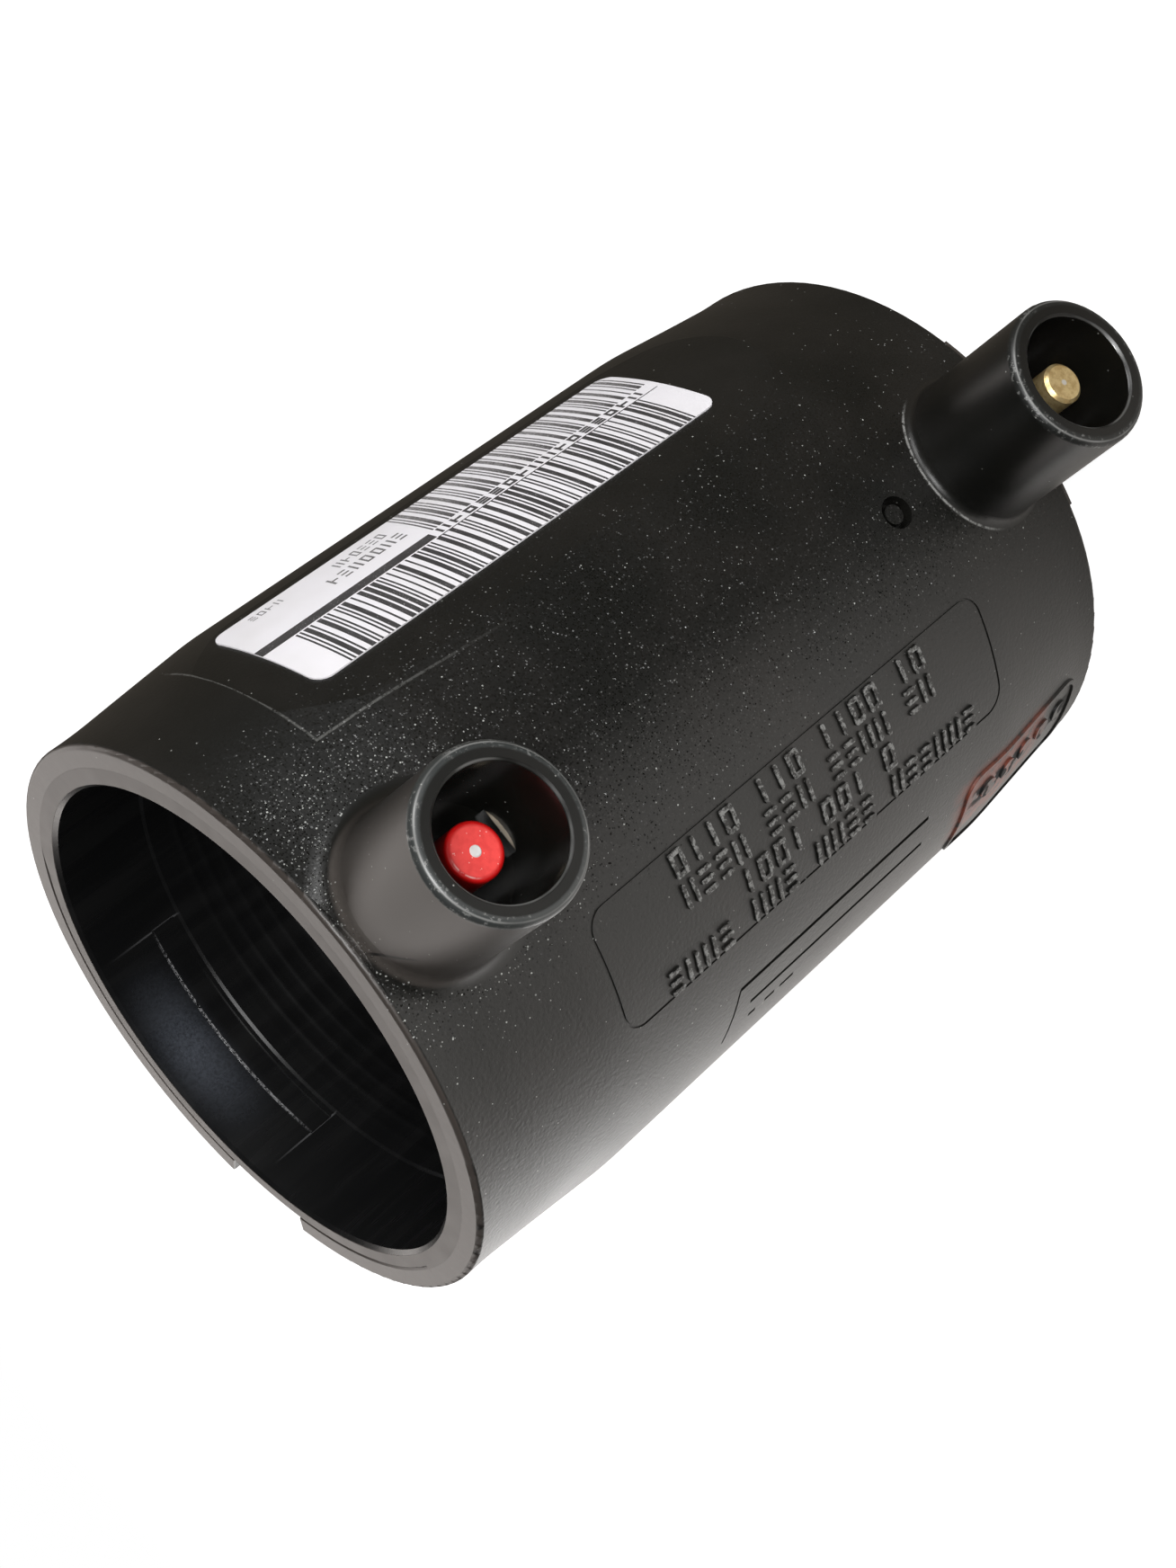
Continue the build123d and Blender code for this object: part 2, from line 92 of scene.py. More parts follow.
class Value:
    """A number inside a node tree, which Python's operators turn into Math nodes."""

    def __init__(self, graph: "Graph", socket: bpy.types.NodeSocket) -> None:
        """Wraps one socket.

        Args:
            graph: the tree that the socket belongs to.
            socket: the output socket.
        """
        self.graph = graph
        self.socket = socket

    def _math(self, operation: str, *others: Number, swap: bool = False) -> "Value":
        """One Math node.

        Args:
            operation: the node's operation.
            others: what stands beside this value.
            swap: whether this value comes last.

        Returns:
            The node's result.
        """
        terms = [*others, self] if swap else [self, *others]
        return self.graph.node("ShaderNodeMath", {"operation": operation}, dict(enumerate(terms)))

    def __add__(self, other: Number) -> "Value":
        """Sum."""
        return self._math("ADD", other)

    def __sub__(self, other: Number) -> "Value":
        """Difference."""
        return self._math("SUBTRACT", other)

    def __rsub__(self, other: Number) -> "Value":
        """Difference, with this value last."""
        return self._math("SUBTRACT", other, swap=True)

    def __mul__(self, other: Number) -> "Value":
        """Product."""
        return self._math("MULTIPLY", other)

    def __truediv__(self, other: Number) -> "Value":
        """Quotient."""
        return self._math("DIVIDE", other)

    def __gt__(self, other: Number) -> "Value":
        """1 where this is the greater, or else 0."""
        return self._math("GREATER_THAN", other)

    def __lt__(self, other: Number) -> "Value":
        """1 where this is the lesser, or else 0."""
        return self._math("LESS_THAN", other)

    def __mod__(self, other: Number) -> "Value":
        """Remainder, from 0 up to the other."""
        return self._math("FLOORED_MODULO", other)

    __radd__ = __add__
    __rmul__ = __mul__

    def least(self, other: Number) -> "Value":
        """The lesser of two."""
        return self._math("MINIMUM", other)

    def most(self, other: Number) -> "Value":
        """The greater of two."""
        return self._math("MAXIMUM", other)

    def size(self) -> "Value":
        """The value without its sign."""
        return self._math("ABSOLUTE")

    def root(self) -> "Value":
        """The square root."""
        return self._math("SQRT")

    def sine(self) -> "Value":
        """The sine of the value in radians."""
        return self._math("SINE")

    def angle_to(self, other: Number) -> "Value":
        """The angle whose tangent is this over the other, in radians."""
        return self._math("ARCTAN2", other)

    def ramp(self, low: float, high: float, ends: Span = (0.0, 1.0)) -> "Value":
        """A smooth step.

        Args:
            low: where the step starts.
            high: where it ends.
            ends: the values before and after it.

        Returns:
            The stepped value.
        """
        return self.graph.node(
            "ShaderNodeMapRange", {"interpolation_type": "SMOOTHSTEP"},
            {"Value": self, "From Min": low, "From Max": high, "To Min": ends[0], "To Max": ends[1]})

    def fall(self, low: float, high: float) -> "Value":
        """A smooth step from 1 down to 0."""
        return self.ramp(low, high, (1.0, 0.0))

    def band(self, middle: float, half_width: float, soft: float) -> "Value":
        """1 within a half width of the middle, falling to 0 over a soft edge."""
        return (self - middle).size().fall(half_width - soft / 2, half_width + soft / 2)


class Graph:
    """Builds one material's node tree."""

    def __init__(self, name: str) -> None:
        """Starts an empty material.

        Args:
            name: the material's name.
        """
        self.material = bpy.data.materials.new(name)
        self.material.use_nodes = True
        self.tree = self.material.node_tree
        self.tree.nodes.clear()
        self.object_vector = self.node("ShaderNodeTexCoord", out="Object").socket
        self.x, self.y, self.z = (
            self.node("ShaderNodeSeparateXYZ", {}, {0: self.object_vector}, out) * (1 / MM)
            for out in ("X", "Y", "Z"))

    def node(self, kind: str, settings: Mapping[str, Any] | None = None,
             inputs: Mapping[Any, Any] | None = None, out: Any = 0) -> Value:
        """Adds a node.

        Args:
            kind: the node's type.
            settings: its properties.
            inputs: a number, colour, socket or Value for each socket, by name or place.
            out: the name or place of the output that is wanted.

        Returns:
            That output.
        """
        made = self.tree.nodes.new(kind)
        for name, value in (settings or {}).items():
            setattr(made, name, value)
        for name, value in (inputs or {}).items():
            if isinstance(value, Value):
                value = value.socket
            if isinstance(value, bpy.types.NodeSocket):
                self.tree.links.new(value, made.inputs[name])
            else:
                made.inputs[name].default_value = value
        return Value(self, made.outputs[out])

    def vector(self, operation: str, inputs: Mapping[Any, Any], out: Any = 0) -> Value:
        """One Vector Math node."""
        return self.node("ShaderNodeVectorMath", {"operation": operation}, inputs, out)

    def noise(self, scale_mm: float, detail: float = 2.0, roughness: float = 0.5,
              vector: Value | None = None) -> Value:
        """Cloudy noise from 0 to 1.

        Args:
            scale_mm: about how far apart its clouds are.
            detail: how many finer layers it has.
            roughness: how strong the finer layers are.
            vector: what it is laid on, if not the object.

        Returns:
            The noise.
        """
        return self.node("ShaderNodeTexNoise", {}, {
            "Vector": vector or self.object_vector, "Scale": 1 / (scale_mm * MM),
            "Detail": detail, "Roughness": roughness}, "Fac")

    def cells(self, scale_mm: float, feature: str = "F1", out: str = "Distance") -> Value:
        """Voronoi cells.

        Args:
            scale_mm: about how far apart their centres are.
            feature: which distance is measured.
            out: the output that is wanted.

        Returns:
            The output.
        """
        return self.node("ShaderNodeTexVoronoi", {"feature": feature}, {
            "Vector": self.object_vector, "Scale": 1 / (scale_mm * MM)}, out)

    def chance(self, scale_mm: float, channel: str) -> Value:
        """A number from 0 to 1 for each Voronoi cell, from one channel of its colour."""
        return self.node("ShaderNodeSeparateColor", {}, {0: self.cells(scale_mm, out="Color")}, channel)

    def tint(self, factor: Number, first: Any, second: Any) -> Value:
        """A mix of two colours.

        Args:
            factor: 0 for the first, 1 for the second.
            first: a colour.
            second: a colour.

        Returns:
            The mixed colour.
        """
        first, second = ((*c, 1.0) if isinstance(c, tuple) else c for c in (first, second))
        return self.node("ShaderNodeMix", {"data_type": "RGBA"}, {0: factor, 6: first, 7: second}, 2)

    def bump(self, height_mm: Value) -> Value:
        """A normal from a height in millimetres."""
        return self.node("ShaderNodeBump", {}, {"Height": height_mm * MM, "Strength": 1.0, "Distance": 1.0})

    def finish(self, inputs: Mapping[str, Any]) -> bpy.types.Material:
        """Ends the tree in a Principled shader.

        Args:
            inputs: its sockets' values and links.

        Returns:
            The material.
        """
        inputs = {k: (*v, 1.0) if isinstance(v, tuple) and len(v) == 3 else v for k, v in inputs.items()}
        self.end_in(self.node("ShaderNodeBsdfPrincipled", {}, inputs))
        return self.material

    def end_in(self, surface: Value) -> None:
        """Ends the tree in a surface."""
        output = self.tree.nodes.new("ShaderNodeOutputMaterial")
        self.tree.links.new(surface.socket, output.inputs["Surface"])

    def glow(self, colour: Colour, strength: float) -> Value:
        """An even glow of one colour."""
        return self.node("ShaderNodeEmission", {}, {"Color": (*colour, 1.0), "Strength": strength})

    def glowing(self, shader: Value, colour: Colour, strength: float) -> Value:
        """A shader with an even glow added to it."""
        return self.node("ShaderNodeAddShader", {}, {0: shader, 1: self.glow(colour, strength)})

    def mixed(self, factor: Value, first: Value | None, second: Value) -> Value:
        """A mix of two shaders, the first of them black where it is None."""
        shaders = {0: factor, 2: second} if first is None else {0: factor, 1: first, 2: second}
        return self.node("ShaderNodeMixShader", {}, shaders)

    def bore_radius(self) -> Value:
        """Distance from the bore axis, in millimetres."""
        return (self.x * self.x + self.y * self.y).root()

    def bearing(self) -> Value:
        """Bearing round the bore, in degrees: the angle of (-x, -y) from the y axis."""
        return (self.x * -1).angle_to(self.y * -1) * (180 / math.pi)

    def terminal_radius(self, z: float) -> Value:
        """Distance from the axis of the terminal at a height, in millimetres."""
        up = self.z - z
        return (self.x * self.x + up * up).root()

    def drop(self) -> Value:
        """Distance down from the upper end face, in millimetres."""
        return self.z * -1 + LENGTH

    def spot(self, place: Point, radius: float, soft: float) -> Value:
        """1 within a radius of a point, falling to 0 over a soft edge.

        Args:
            place: the point, in millimetres.
            radius: the radius.
            soft: the width of the edge.

        Returns:
            The spot.
        """
        x, y, z = (axis - at for axis, at in zip((self.x, self.y, self.z), place))
        return (x * x + y * y + z * z).root().fall(radius - soft / 2, radius + soft / 2)

    def stretched(self, along: Point) -> Value:
        """The object's coordinates, each scaled by a number."""
        return self.vector("MULTIPLY", {0: self.object_vector, 1: along})

    def facets(self, under: Value, scale_mm: float, tilt: float, share: Number) -> Value:
        """A normal broken into small flat facets, each turned its own way.

        A facet's turn is the colour of its Voronoi cell, less a half, times the square of its own
        length, so that most turn little and a few turn far. It is scaled by the tilt and added to
        the normal, whose length is then made 1 again.

        Args:
            under: the normal below.
            scale_mm: about how far apart the facets are.
            tilt: how far they turn.
            share: how much of them shows.

        Returns:
            The normal.
        """
        own = self.cells(scale_mm, out="Color")
        turn = self.vector("SUBTRACT", {0: own, 1: (0.5, 0.5, 0.5)})
        length = self.vector("LENGTH", {0: turn}, "Value")
        turn = self.vector("SCALE", {0: turn, "Scale": length * length * share * tilt})
        return self.vector("NORMALIZE", {0: self.vector("ADD", {0: under, 1: turn})})


# Finishes

@dataclass(frozen=True)
class BodyPlaces:
    """Where a point of the body lies, as values of its tree, in millimetres and degrees."""

    g: Graph
    out: Value
    drop: Value
    bore: Value
    bearing: Value
    upper: Value
    lower: Value
    nearest: Value
    socket: Value
    scuff: Value


@dataclass(frozen=True)
class SparkErodedPolyethylene:
    """The black moulding: spark-eroded skin, satin shrouds and ends, worn edges, and painted highlights,
    glints, sheen and shade.
    """

    base: Colour = (0.0046, 0.0047, 0.0038)
    lightened: Colour = (0.013, 0.0115, 0.0098)
    # Painted light: a lighter grey over the upper shroud's wall, which the lower shroud's wall does not get.
    lit_wall_tone: Colour = (0.018, 0.0155, 0.0135)
    # Painted light: a paler grey on the upper shroud's wall towards +Z, broken by scuff noise.
    lit_side_tone: Colour = (0.062, 0.054, 0.048)
    end_tone: Colour = (0.050, 0.042, 0.037)
    # Painted glints: bright specks of colour on the skin, densest near the upper shroud.
    painted_glint_tone: Colour = (0.52, 0.53, 0.50)
    # Scuffs, and painted highlights on the mouths' arcs, the lower shroud's foot and the raised marks' tops.
    wear_and_highlight_tone: Colour = (0.26, 0.26, 0.25)
    # Painted sheen: a lighter grey on the mouths' flat lips, full on the upper shroud and a quarter as
    # strong on the lower.
    lip_sheen_tone: Colour = (0.034, 0.037, 0.036)
    dust_tone: Colour = (0.34, 0.34, 0.32)
    # Painted highlight along the label pad's edges.
    pad_edge_highlight_tone: Colour = (0.085, 0.085, 0.08)
    # Painted shade for the rim's nicks and the shroud's crease.
    nick_shade_tone: Colour = (0.0025, 0.0025, 0.0025)
    # Painted highlight on the ledge's edge in the upper socket.
    ledge_highlight_tone: Colour = (0.50, 0.43, 0.33)
    stain_tone: Colour = (0.07, 0.06, 0.055)
    rust_tone: Colour = (0.19, 0.05, 0.03)
    blot_tone: Colour = (0.003, 0.003, 0.003)
    skin_roughness: float = 0.44
    satin_roughness: float = 0.38
    grain_mm: float = 0.28
    grain_depth: Span = (0.011, 0.034)
    grain_bearings: Span = (12.0, 34.0)
    painted_glint_sizes: tuple[Span, ...] = ((0.36, 0.55), (0.21, 0.8))
    facet_mm: float = 0.21
    facet_tilt: float = 2.6
    glint_share: float = 0.8
    glint_bearings: Span = (10.0, 30.0)
    dust_mm: float = 0.8
    shroud_feet: Span = (9.1, 8.4)
    foot_shift: float = 1.3
    front: Span = (20.0, 22.0)
    mouth: float = 46.5
    edge_radius: float = 0.8
    shroud_radius: float = 7.3
    wall_edge: Span = (7.8, 8.2)
    socket_radius: float = 5.5
    rim_radius: float = 0.5
    ledge: Span = (5.1, 36.5)
    badge: tuple[float, float, float, float] = (63.0, 8.0, 74.0, 7.5)
    nicks: tuple[tuple[Point, float], ...] = (((-25.5, -15.0, 91.0), 0.45), ((-27.6, -10.7, 91.0), 0.4))
    crease: tuple[Point, Point] = ((-1.2, -30.9, 90.2), (-3.9, -34.5, 89.5))
    panel_bearings: Span = (30.0, 13.5)
    panel_drops: Span = (45.5, 26.0)
    mark_tops: float = 0.12
    foot_highlight_ring: float = 8.3

    def material(self) -> bpy.types.Material:
        """Makes the material.

        The skin is fine noise and round cells, with painted glints among them. The shrouds and the two ends
        are smooth, their edges are scuffed, and dust lies in small specks. Painted light lies on the upper
        shroud's wall and the lips, painted highlights on some edges, and painted shade in two nicks and a
        crease.

        Returns:
            The material.
        """
        g = Graph("spark_eroded_polyethylene")
        at = self._places(g)
        front = at.out.ramp(*self.front)
        ends = at.drop.least(g.z).fall(self.rim_radius * 0.5, self.rim_radius * 0.9)
        shifted = g.terminal_radius(UPPER_TERMINAL_Z - self.foot_shift)
        feet = [r.fall(foot - 0.25, foot) for r, foot in zip((shifted, at.lower), self.shroud_feet)]
        shroud = feet[0].most(feet[1]) * front * (1 - ends)
        satin = shroud.most(ends)
        inner_edge = self.shroud_radius - self.edge_radius
        lip = (at.nearest.ramp(inner_edge - 0.1, inner_edge + 0.15)
               * at.out.ramp(self.mouth - 0.9, self.mouth - 0.6))
        broad = g.noise(11.0, 3.0)
        solid = 1 - at.socket
        open_skin = (1 - satin) * solid
        # Scuffs with painted highlights: pale arcs at the mouths, a ring at the lower shroud's foot and the
        # raised marks' tops.
        worn = self._scuffs_and_highlights(at, lip).most(self._rubbed_highlit_mark_tops(at))
        side = front * at.upper.fall(*self.wall_edge) * at.out.fall(self.mouth - 1.0, self.mouth - 0.7)
        # Painted light on the upper shroud's wall, paler towards +Z. The same mask also makes the wall a
        # little rougher.
        hazed_and_lit_side = side * solid * (g.z - UPPER_TERMINAL_Z).ramp(0.5, 6.0) * at.scuff.ramp(0.1, 0.7, (0.7, 1.0))
        colour = g.tint(broad.ramp(0.35, 0.75) * 0.6, self.base, self.lightened)
        # Painted light in this list: a lighter upper shroud wall, paler towards +Z, a sheen on the lips,
        # highlights among the scuffs, glints among the skin's cells and highlights along the pad's edges.
        for factor, tone in (
                (shroud * solid * side, self.lit_wall_tone), (hazed_and_lit_side, self.lit_side_tone), (ends, self.end_tone),
                (lip * at.upper.ramp(7.4, 7.6, (1.0, 0.25)), self.lip_sheen_tone), (worn, self.wear_and_highlight_tone),
                (self._dust(g) * 0.8, self.dust_tone), (self._painted_glints(at) * open_skin, self.painted_glint_tone),
                (self._pad_edge_highlights(at), self.pad_edge_highlight_tone)):
            colour = g.tint(factor, colour, tone)
        colour, blots = self._badge_stain(at, colour)
        # Painted shade: the nicks and the crease are darkened colour.
        colour = g.tint(self._shaded_nicks_and_crease(g), colour, self.nick_shade_tone)
        # Painted highlight on the ledge's edge.
        colour = g.tint(self._ledge_highlight(at) * 0.85, colour, self.ledge_highlight_tone)
        skin = g.noise(self.grain_mm, 3.0, 0.6) + g.cells(self.grain_mm * 1.4, "SMOOTH_F1") * 0.8
        relief = skin * at.bearing.ramp(*self.grain_bearings, self.grain_depth) * (1 - satin * 0.94) * solid
        relief = relief + at.scuff * lip * 0.012 + g.noise(2.2, 2.0) * ends * 0.02
        rough = (broad * 0.1 + (self.skin_roughness - 0.05)) * open_skin + (1 - open_skin) * (
            self.satin_roughness + at.scuff * 0.08 - 0.04 + hazed_and_lit_side * 0.1) + blots * 0.4
        glint = (self._glints(g) * open_skin * at.bearing.fall(*self.glint_bearings)
                 * at.bearing.ramp(-50.0, -20.0))
        normal = g.facets(g.bump(relief), self.facet_mm, self.facet_tilt, glint)
        return g.finish({
            "Base Color": colour, "Roughness": rough - at.socket * 0.18 - worn * 0.1 - glint * 0.16,
            "Normal": normal})

    def _places(self, g: Graph) -> BodyPlaces:
        """Works out the places that the finish's parts share.

        Args:
            g: the tree.

        Returns:
            The places.
        """
        out = g.y * -1
        upper, lower = (g.terminal_radius(z) for z in (UPPER_TERMINAL_Z, LOWER_TERMINAL_Z))
        nearest = upper.least(lower)
        socket = nearest.fall(self.socket_radius, self.socket_radius + 0.1) * out.ramp(*self.front)
        return BodyPlaces(g, out, g.drop(), g.bore_radius(), g.bearing(), upper, lower, nearest, socket,
                          g.noise(0.5, 5.0, 0.72))

    def _glints(self, g: Graph) -> Value:
        """Which facets are bright crystals: the middles of a share of the cells."""
        chosen = g.chance(self.facet_mm, "Blue") > 1 - self.glint_share
        return chosen * g.cells(self.facet_mm).fall(0.35, 0.5)

    def _dust(self, g: Graph) -> Value:
        """Small specks of dust, strewn thinly over everything: the middles of a few cells."""
        return (g.chance(self.dust_mm, "Red") > 0.86) * g.cells(self.dust_mm).fall(0.05, 0.12)

    def _painted_glints(self, at: BodyPlaces) -> Value:
        """Painted glints strewn over the skin: the middles of some cells lightened, more of them near the
        upper shroud and within a span of bearings.

        Args:
            at: the places.

        Returns:
            How bright the painted glints are.
        """
        share = (at.upper.ramp(8.5, 19.0, (0.5, 0.03)) * at.bearing.ramp(6.0, 28.0, (1.0, 0.12))
                 * at.bearing.ramp(-46.0, -22.0) * at.g.noise(6.0, 2.0).ramp(0.3, 0.6, (0.45, 1.0)))
        strewn = []
        for size, part in self.painted_glint_sizes:
            own = at.g.chance(size, "Green")
            shine = (own - 1 + share * part) / (share * part + 0.001)
            middle = at.g.cells(size).fall(0.15, 0.3)
            strewn.append((own > 1 - share * part) * middle * (shine * 0.75 + 0.25))
        return strewn[0].most(strewn[1])

    def _pad_edge_highlights(self, at: BodyPlaces) -> Value:
        """Painted highlights on the edges of the label's pad, broken by scuff noise: along one drop, and
        along one bearing until it fades.

        Args:
            at: the places.

        Returns:
            Where the painted highlights are.
        """
        across = at.drop.band(10.7, 0.1, 0.16) * at.bearing.band(-49.5, 20.2, 0.4)
        along = (at.bearing + 29.35 - (at.drop - 10.8) * 0.178).size().fall(0.12, 0.36) * (at.drop > 10.6)
        return across.most(along * at.drop.fall(14.0, 34.0)) * at.scuff.ramp(0.34, 0.54)

    def _scuffs_and_highlights(self, at: BodyPlaces, lip: Value) -> Value:
        """Scuffs and painted highlights: a scuffed and highlighted arc outside each mouth's lip, a painted
        highlight arc inside it, scuffs on the lip, and a painted highlight ring at the lower shroud's foot.

        Args:
            at: the places.
            lip: where the lips are.

        Returns:
            Where the scuffs and painted highlights are.
        """
        mouth = at.out > self.mouth - 0.6
        heavier = at.g.noise(4.0, 1.0).ramp(0.35, 0.65)
        # The outer arc is scuffed and also painted as a highlight. The inner arc, on the socket's chamfer,
        # is a painted highlight.
        arcs = (at.nearest.band(self.shroud_radius - 0.35, 0.06, 0.12) * (heavier * 0.5 + 0.25)
                + at.nearest.band(self.socket_radius + 0.12, 0.07, 0.12) * heavier * 0.45) * mouth
        # Painted highlight: a pale ring on the lower shroud's fillet, on its +Z side only.
        foot = (at.lower.band(self.foot_highlight_ring, 0.1, 0.16) * at.scuff.ramp(0.36, 0.56)
                * (at.g.z - LOWER_TERMINAL_Z).ramp(2.5, 6.0) * (at.out < 33.0) * (at.out > 27.0))
        return arcs.most(lip * at.scuff.ramp(0.54, 0.62) * heavier * 0.6).most(foot)

    def _rubbed_highlit_mark_tops(self, at: BodyPlaces) -> Value:
        """Rubbed tops of the raised marks, where they stand above the body, lightened as a painted
        highlight.
        """
        panel = at.bearing.band(*self.panel_bearings, 0.5) * at.drop.band(*self.panel_drops, 0.5)
        tops = at.bore.ramp(BODY_R + self.mark_tops, BODY_R + self.mark_tops + 0.05)
        return panel * tops * at.scuff.ramp(0.45, 0.6) * 0.8

    def _badge_stain(self, at: BodyPlaces, colour: Value) -> tuple[Value, Value]:
        """The stained badge: a paler patch of bearing and drop, with rust and with dark blots in it.

        Args:
            at: the places.
            colour: the colour below.

        Returns:
            The stained colour, and where the blots are.
        """
        g = at.g
        middle, half, drop, reach = self.badge
        patch = at.bearing.band(middle, half, 5.0) * at.drop.band(drop, reach, 4.0)
        rust = g.noise(1.9, 4.0, 0.65).ramp(0.36, 0.54) * patch
        blots = (g.noise(1.7, 2.0, 0.5).ramp(0.5, 0.56) * at.bearing.band(middle - 0.5, 2.6, 1.6)
                 * at.drop.band(78.0, 9.0, 2.0))
        colour = g.tint(patch * 0.5, colour, self.stain_tone)
        colour = g.tint(rust, colour, self.rust_tone)
        return g.tint(blots, colour, self.blot_tone), blots

    def _shaded_nicks_and_crease(self, g: Graph) -> Value:
        """Painted shade: two dark nicks in the upper rim, and a dark line for a short crease on the upper
        shroud.

        Args:
            g: the tree.

        Returns:
            Where the painted shade is.
        """
        nicks = [g.spot(place, radius, 0.5) for place, radius in self.nicks]
        start, end = self.crease
        t = (g.y - start[1]) / (end[1] - start[1])
        line = (g.x - start[0] - t * (end[0] - start[0])).size().fall(0.08, 0.3)
        crease = line * t.ramp(-0.1, 0.15) * t.fall(0.8, 1.1) * (g.z > UPPER_TERMINAL_Z + 4)
        return nicks[0].most(nicks[1]).most(crease * 0.85)

    def _ledge_highlight(self, at: BodyPlaces) -> Value:
        """A painted highlight along the edge of the ledge on the floor of the upper socket, fading to both
        sides.

        Args:
            at: the places.

        Returns:
            Where the painted highlight is.
        """
        offset, top = self.ledge
        edge = (at.g.z - (UPPER_TERMINAL_Z - offset - 0.22)).size().fall(0.12, 0.24)
        return at.socket * edge * at.out.band(top, 0.08, 0.04) * at.g.x.size().fall(1.0, 2.2)


@dataclass(frozen=True)
class SleevePolyethylene:
    """The smooth black carrier: a satin end face, and a bore with draw marks, a roughened step with a
    painted highlight, and a painted sheen inside the mouth.
    """

    base: Colour = (0.0055, 0.0056, 0.0058)
    drawn: Colour = (0.012, 0.012, 0.012)
    end_tone: Colour = (0.050, 0.042, 0.037)
    # Scratches, and a painted highlight along the step's edge.
    scratch_and_highlight_tone: Colour = (0.34, 0.34, 0.35)
    # Painted sheen: a bluish light patch inside the bore near the mouth.
    sheen_tone: Colour = (0.066, 0.073, 0.088)
    bore_roughness: float = 0.27
    end_roughness: float = 0.42
    step_drop: float = 6.95
    step_bearings: Span = (149.6, 209.6)
    bright_bearings: Span = (160.0, 200.0)
    sheen_bearings: Point = (182.0, 12.0, 30.0)
    sheen_drops: Point = (3.8, 2.4, 4.0)

    def material(self) -> bpy.types.Material:
        """Makes the material.

        The step's edge is a line of one drop, scratched and painted as a highlight brightest at the middle
        of its bearings, and a fainter pale line of one bearing runs along the bore at each of its ends. A
        painted sheen lies on the wall opposite the terminals, near the mouth.

        Returns:
            The material.
        """
        g = Graph("sleeve_polyethylene")
        ends = (g.z - LENGTH / 2).size() > LENGTH / 2 - 0.04
        nearer = g.drop().least(g.z)
        draw = g.noise(2.4, 3.0, 0.5, g.stretched((1.0, 1.0, 0.1)))
        bearing = g.bearing() % 360
        low, high = self.step_bearings
        arc = bearing.ramp(low, low + 1) * bearing.fall(high - 1, high)
        bright = bearing.ramp(low, self.bright_bearings[0]) * bearing.fall(self.bright_bearings[1], high)
        fleck = g.noise(0.28, 3.0, 0.75)
        # Scratches and a painted highlight along the step's edge.
        step = nearer.band(self.step_drop, 0.17, 0.14) * arc * fleck.ramp(0.4, 0.56) * (bright * 0.85 + 0.12)
        ticks = (bearing - low).size().least((bearing - high).size()).fall(0.1, 0.3)
        ticks = ticks * nearer.ramp(1.0, 8.0) * nearer.fall(9.6, 10.4) * 0.22
        # Painted sheen on the bore's wall opposite the terminals, near the mouth.
        painted_sheen = (bearing.band(*self.sheen_bearings) * nearer.band(*self.sheen_drops)
                * fleck.ramp(0.2, 0.75, (0.35, 1.0)))
        colour = g.tint(draw.ramp(0.4, 0.7) * 0.5, self.base, self.drawn)
        colour = g.tint(painted_sheen, colour, self.sheen_tone)
        colour = g.tint(ends, colour, self.end_tone)
        colour = g.tint(step.most(ticks), colour, self.scratch_and_highlight_tone)
        rough = draw * 0.1 + (self.bore_roughness - 0.05) + ends * (self.end_roughness - self.bore_roughness)
        return g.finish({
            "Base Color": colour, "Roughness": rough,
            "Normal": g.bump(g.noise(0.3, 3.0) * 0.003 + draw * 0.004 * (1 - ends) + step * 0.04)})


@dataclass(frozen=True)
class RedPolymer:
    """The red cap: its flat top painted paler as painted light, with a painted highlight arc on the top's
    edge and small dust specks.
    """

    side: Colour = (0.62, 0.006, 0.006)
    # Painted light: the flat top is a paler copy of the side's red.
    top: Colour = (0.93, 0.075, 0.068)
    # Used for the dust specks and also for the painted highlight arc on the top's edge.
    dust_tone: Colour = (0.9, 0.62, 0.58)
    top_edge: float = 2.13

    def material(self) -> bpy.types.Material:
        """Makes the material.

        Returns:
            The material.
        """
        g = Graph("red_polymer")
        radius = g.terminal_radius(UPPER_TERMINAL_Z)
        mottle = g.noise(0.6, 3.0)
        flat = radius.fall(1.9, 2.2) * (g.y * -1).ramp(40.7, 40.9)
        dust = (g.cells(0.45) < 0.12) * flat
        side_on = (UPPER_TERMINAL_Z - g.z + g.x * 0.4) / radius
        # Painted highlight: a pale arc on one side of the top's edge, broken by mottle.
        lightened = radius.band(self.top_edge, 0.06, 0.1) * side_on.fall(-1.1, -0.75) * mottle.ramp(0.35, 0.5)
        # Painted light: paler red on the flat top.
        colour = g.tint(flat, self.side, self.top)
        colour = g.tint(mottle.ramp(0.4, 0.7) * 0.25, colour, self.side)
        colour = g.tint(dust.most(lightened) * 0.7, colour, self.dust_tone)
        return g.finish({
            "Base Color": colour, "Roughness": mottle * 0.1 + 0.28,
            "Normal": g.bump(mottle * 0.01 + g.noise(0.15) * 0.004)})


@dataclass(frozen=True)
class TurnedMetal:
    """A turned terminal metal, with fine rings round its axis and tarnish."""

    name: str
    terminal_z: float
    bright: Colour = (0.93, 0.72, 0.36)
    tarnish: Colour = (0.68, 0.47, 0.20)
    tip: Colour = (0.95, 0.90, 0.82)
    metallic: float = 0.75
    roughness: float = 0.32
    ring_pitch: float = 0.11

    def material(self) -> bpy.types.Material:
        """Makes the material. The rings are a sine of the radius and of the height along the pin.

        Returns:
            The material.
        """
        g = Graph(self.name)
        radius = g.terminal_radius(self.terminal_z)
        rings = ((radius + g.y * 0.7) * (2 * math.pi / self.ring_pitch)).sine()
        stain = g.noise(0.9, 4.0, 0.65)
        colour = g.tint(stain.ramp(0.38, 0.66), self.bright, self.tarnish)
        colour = g.tint(radius.fall(0.2, 0.34), colour, self.tip)
        return g.finish({
            "Base Color": colour, "Metallic": self.metallic,
            "Roughness": stain * 0.2 + (self.roughness - 0.1),
            "Normal": g.bump(rings * 0.0016 + stain * 0.02)})


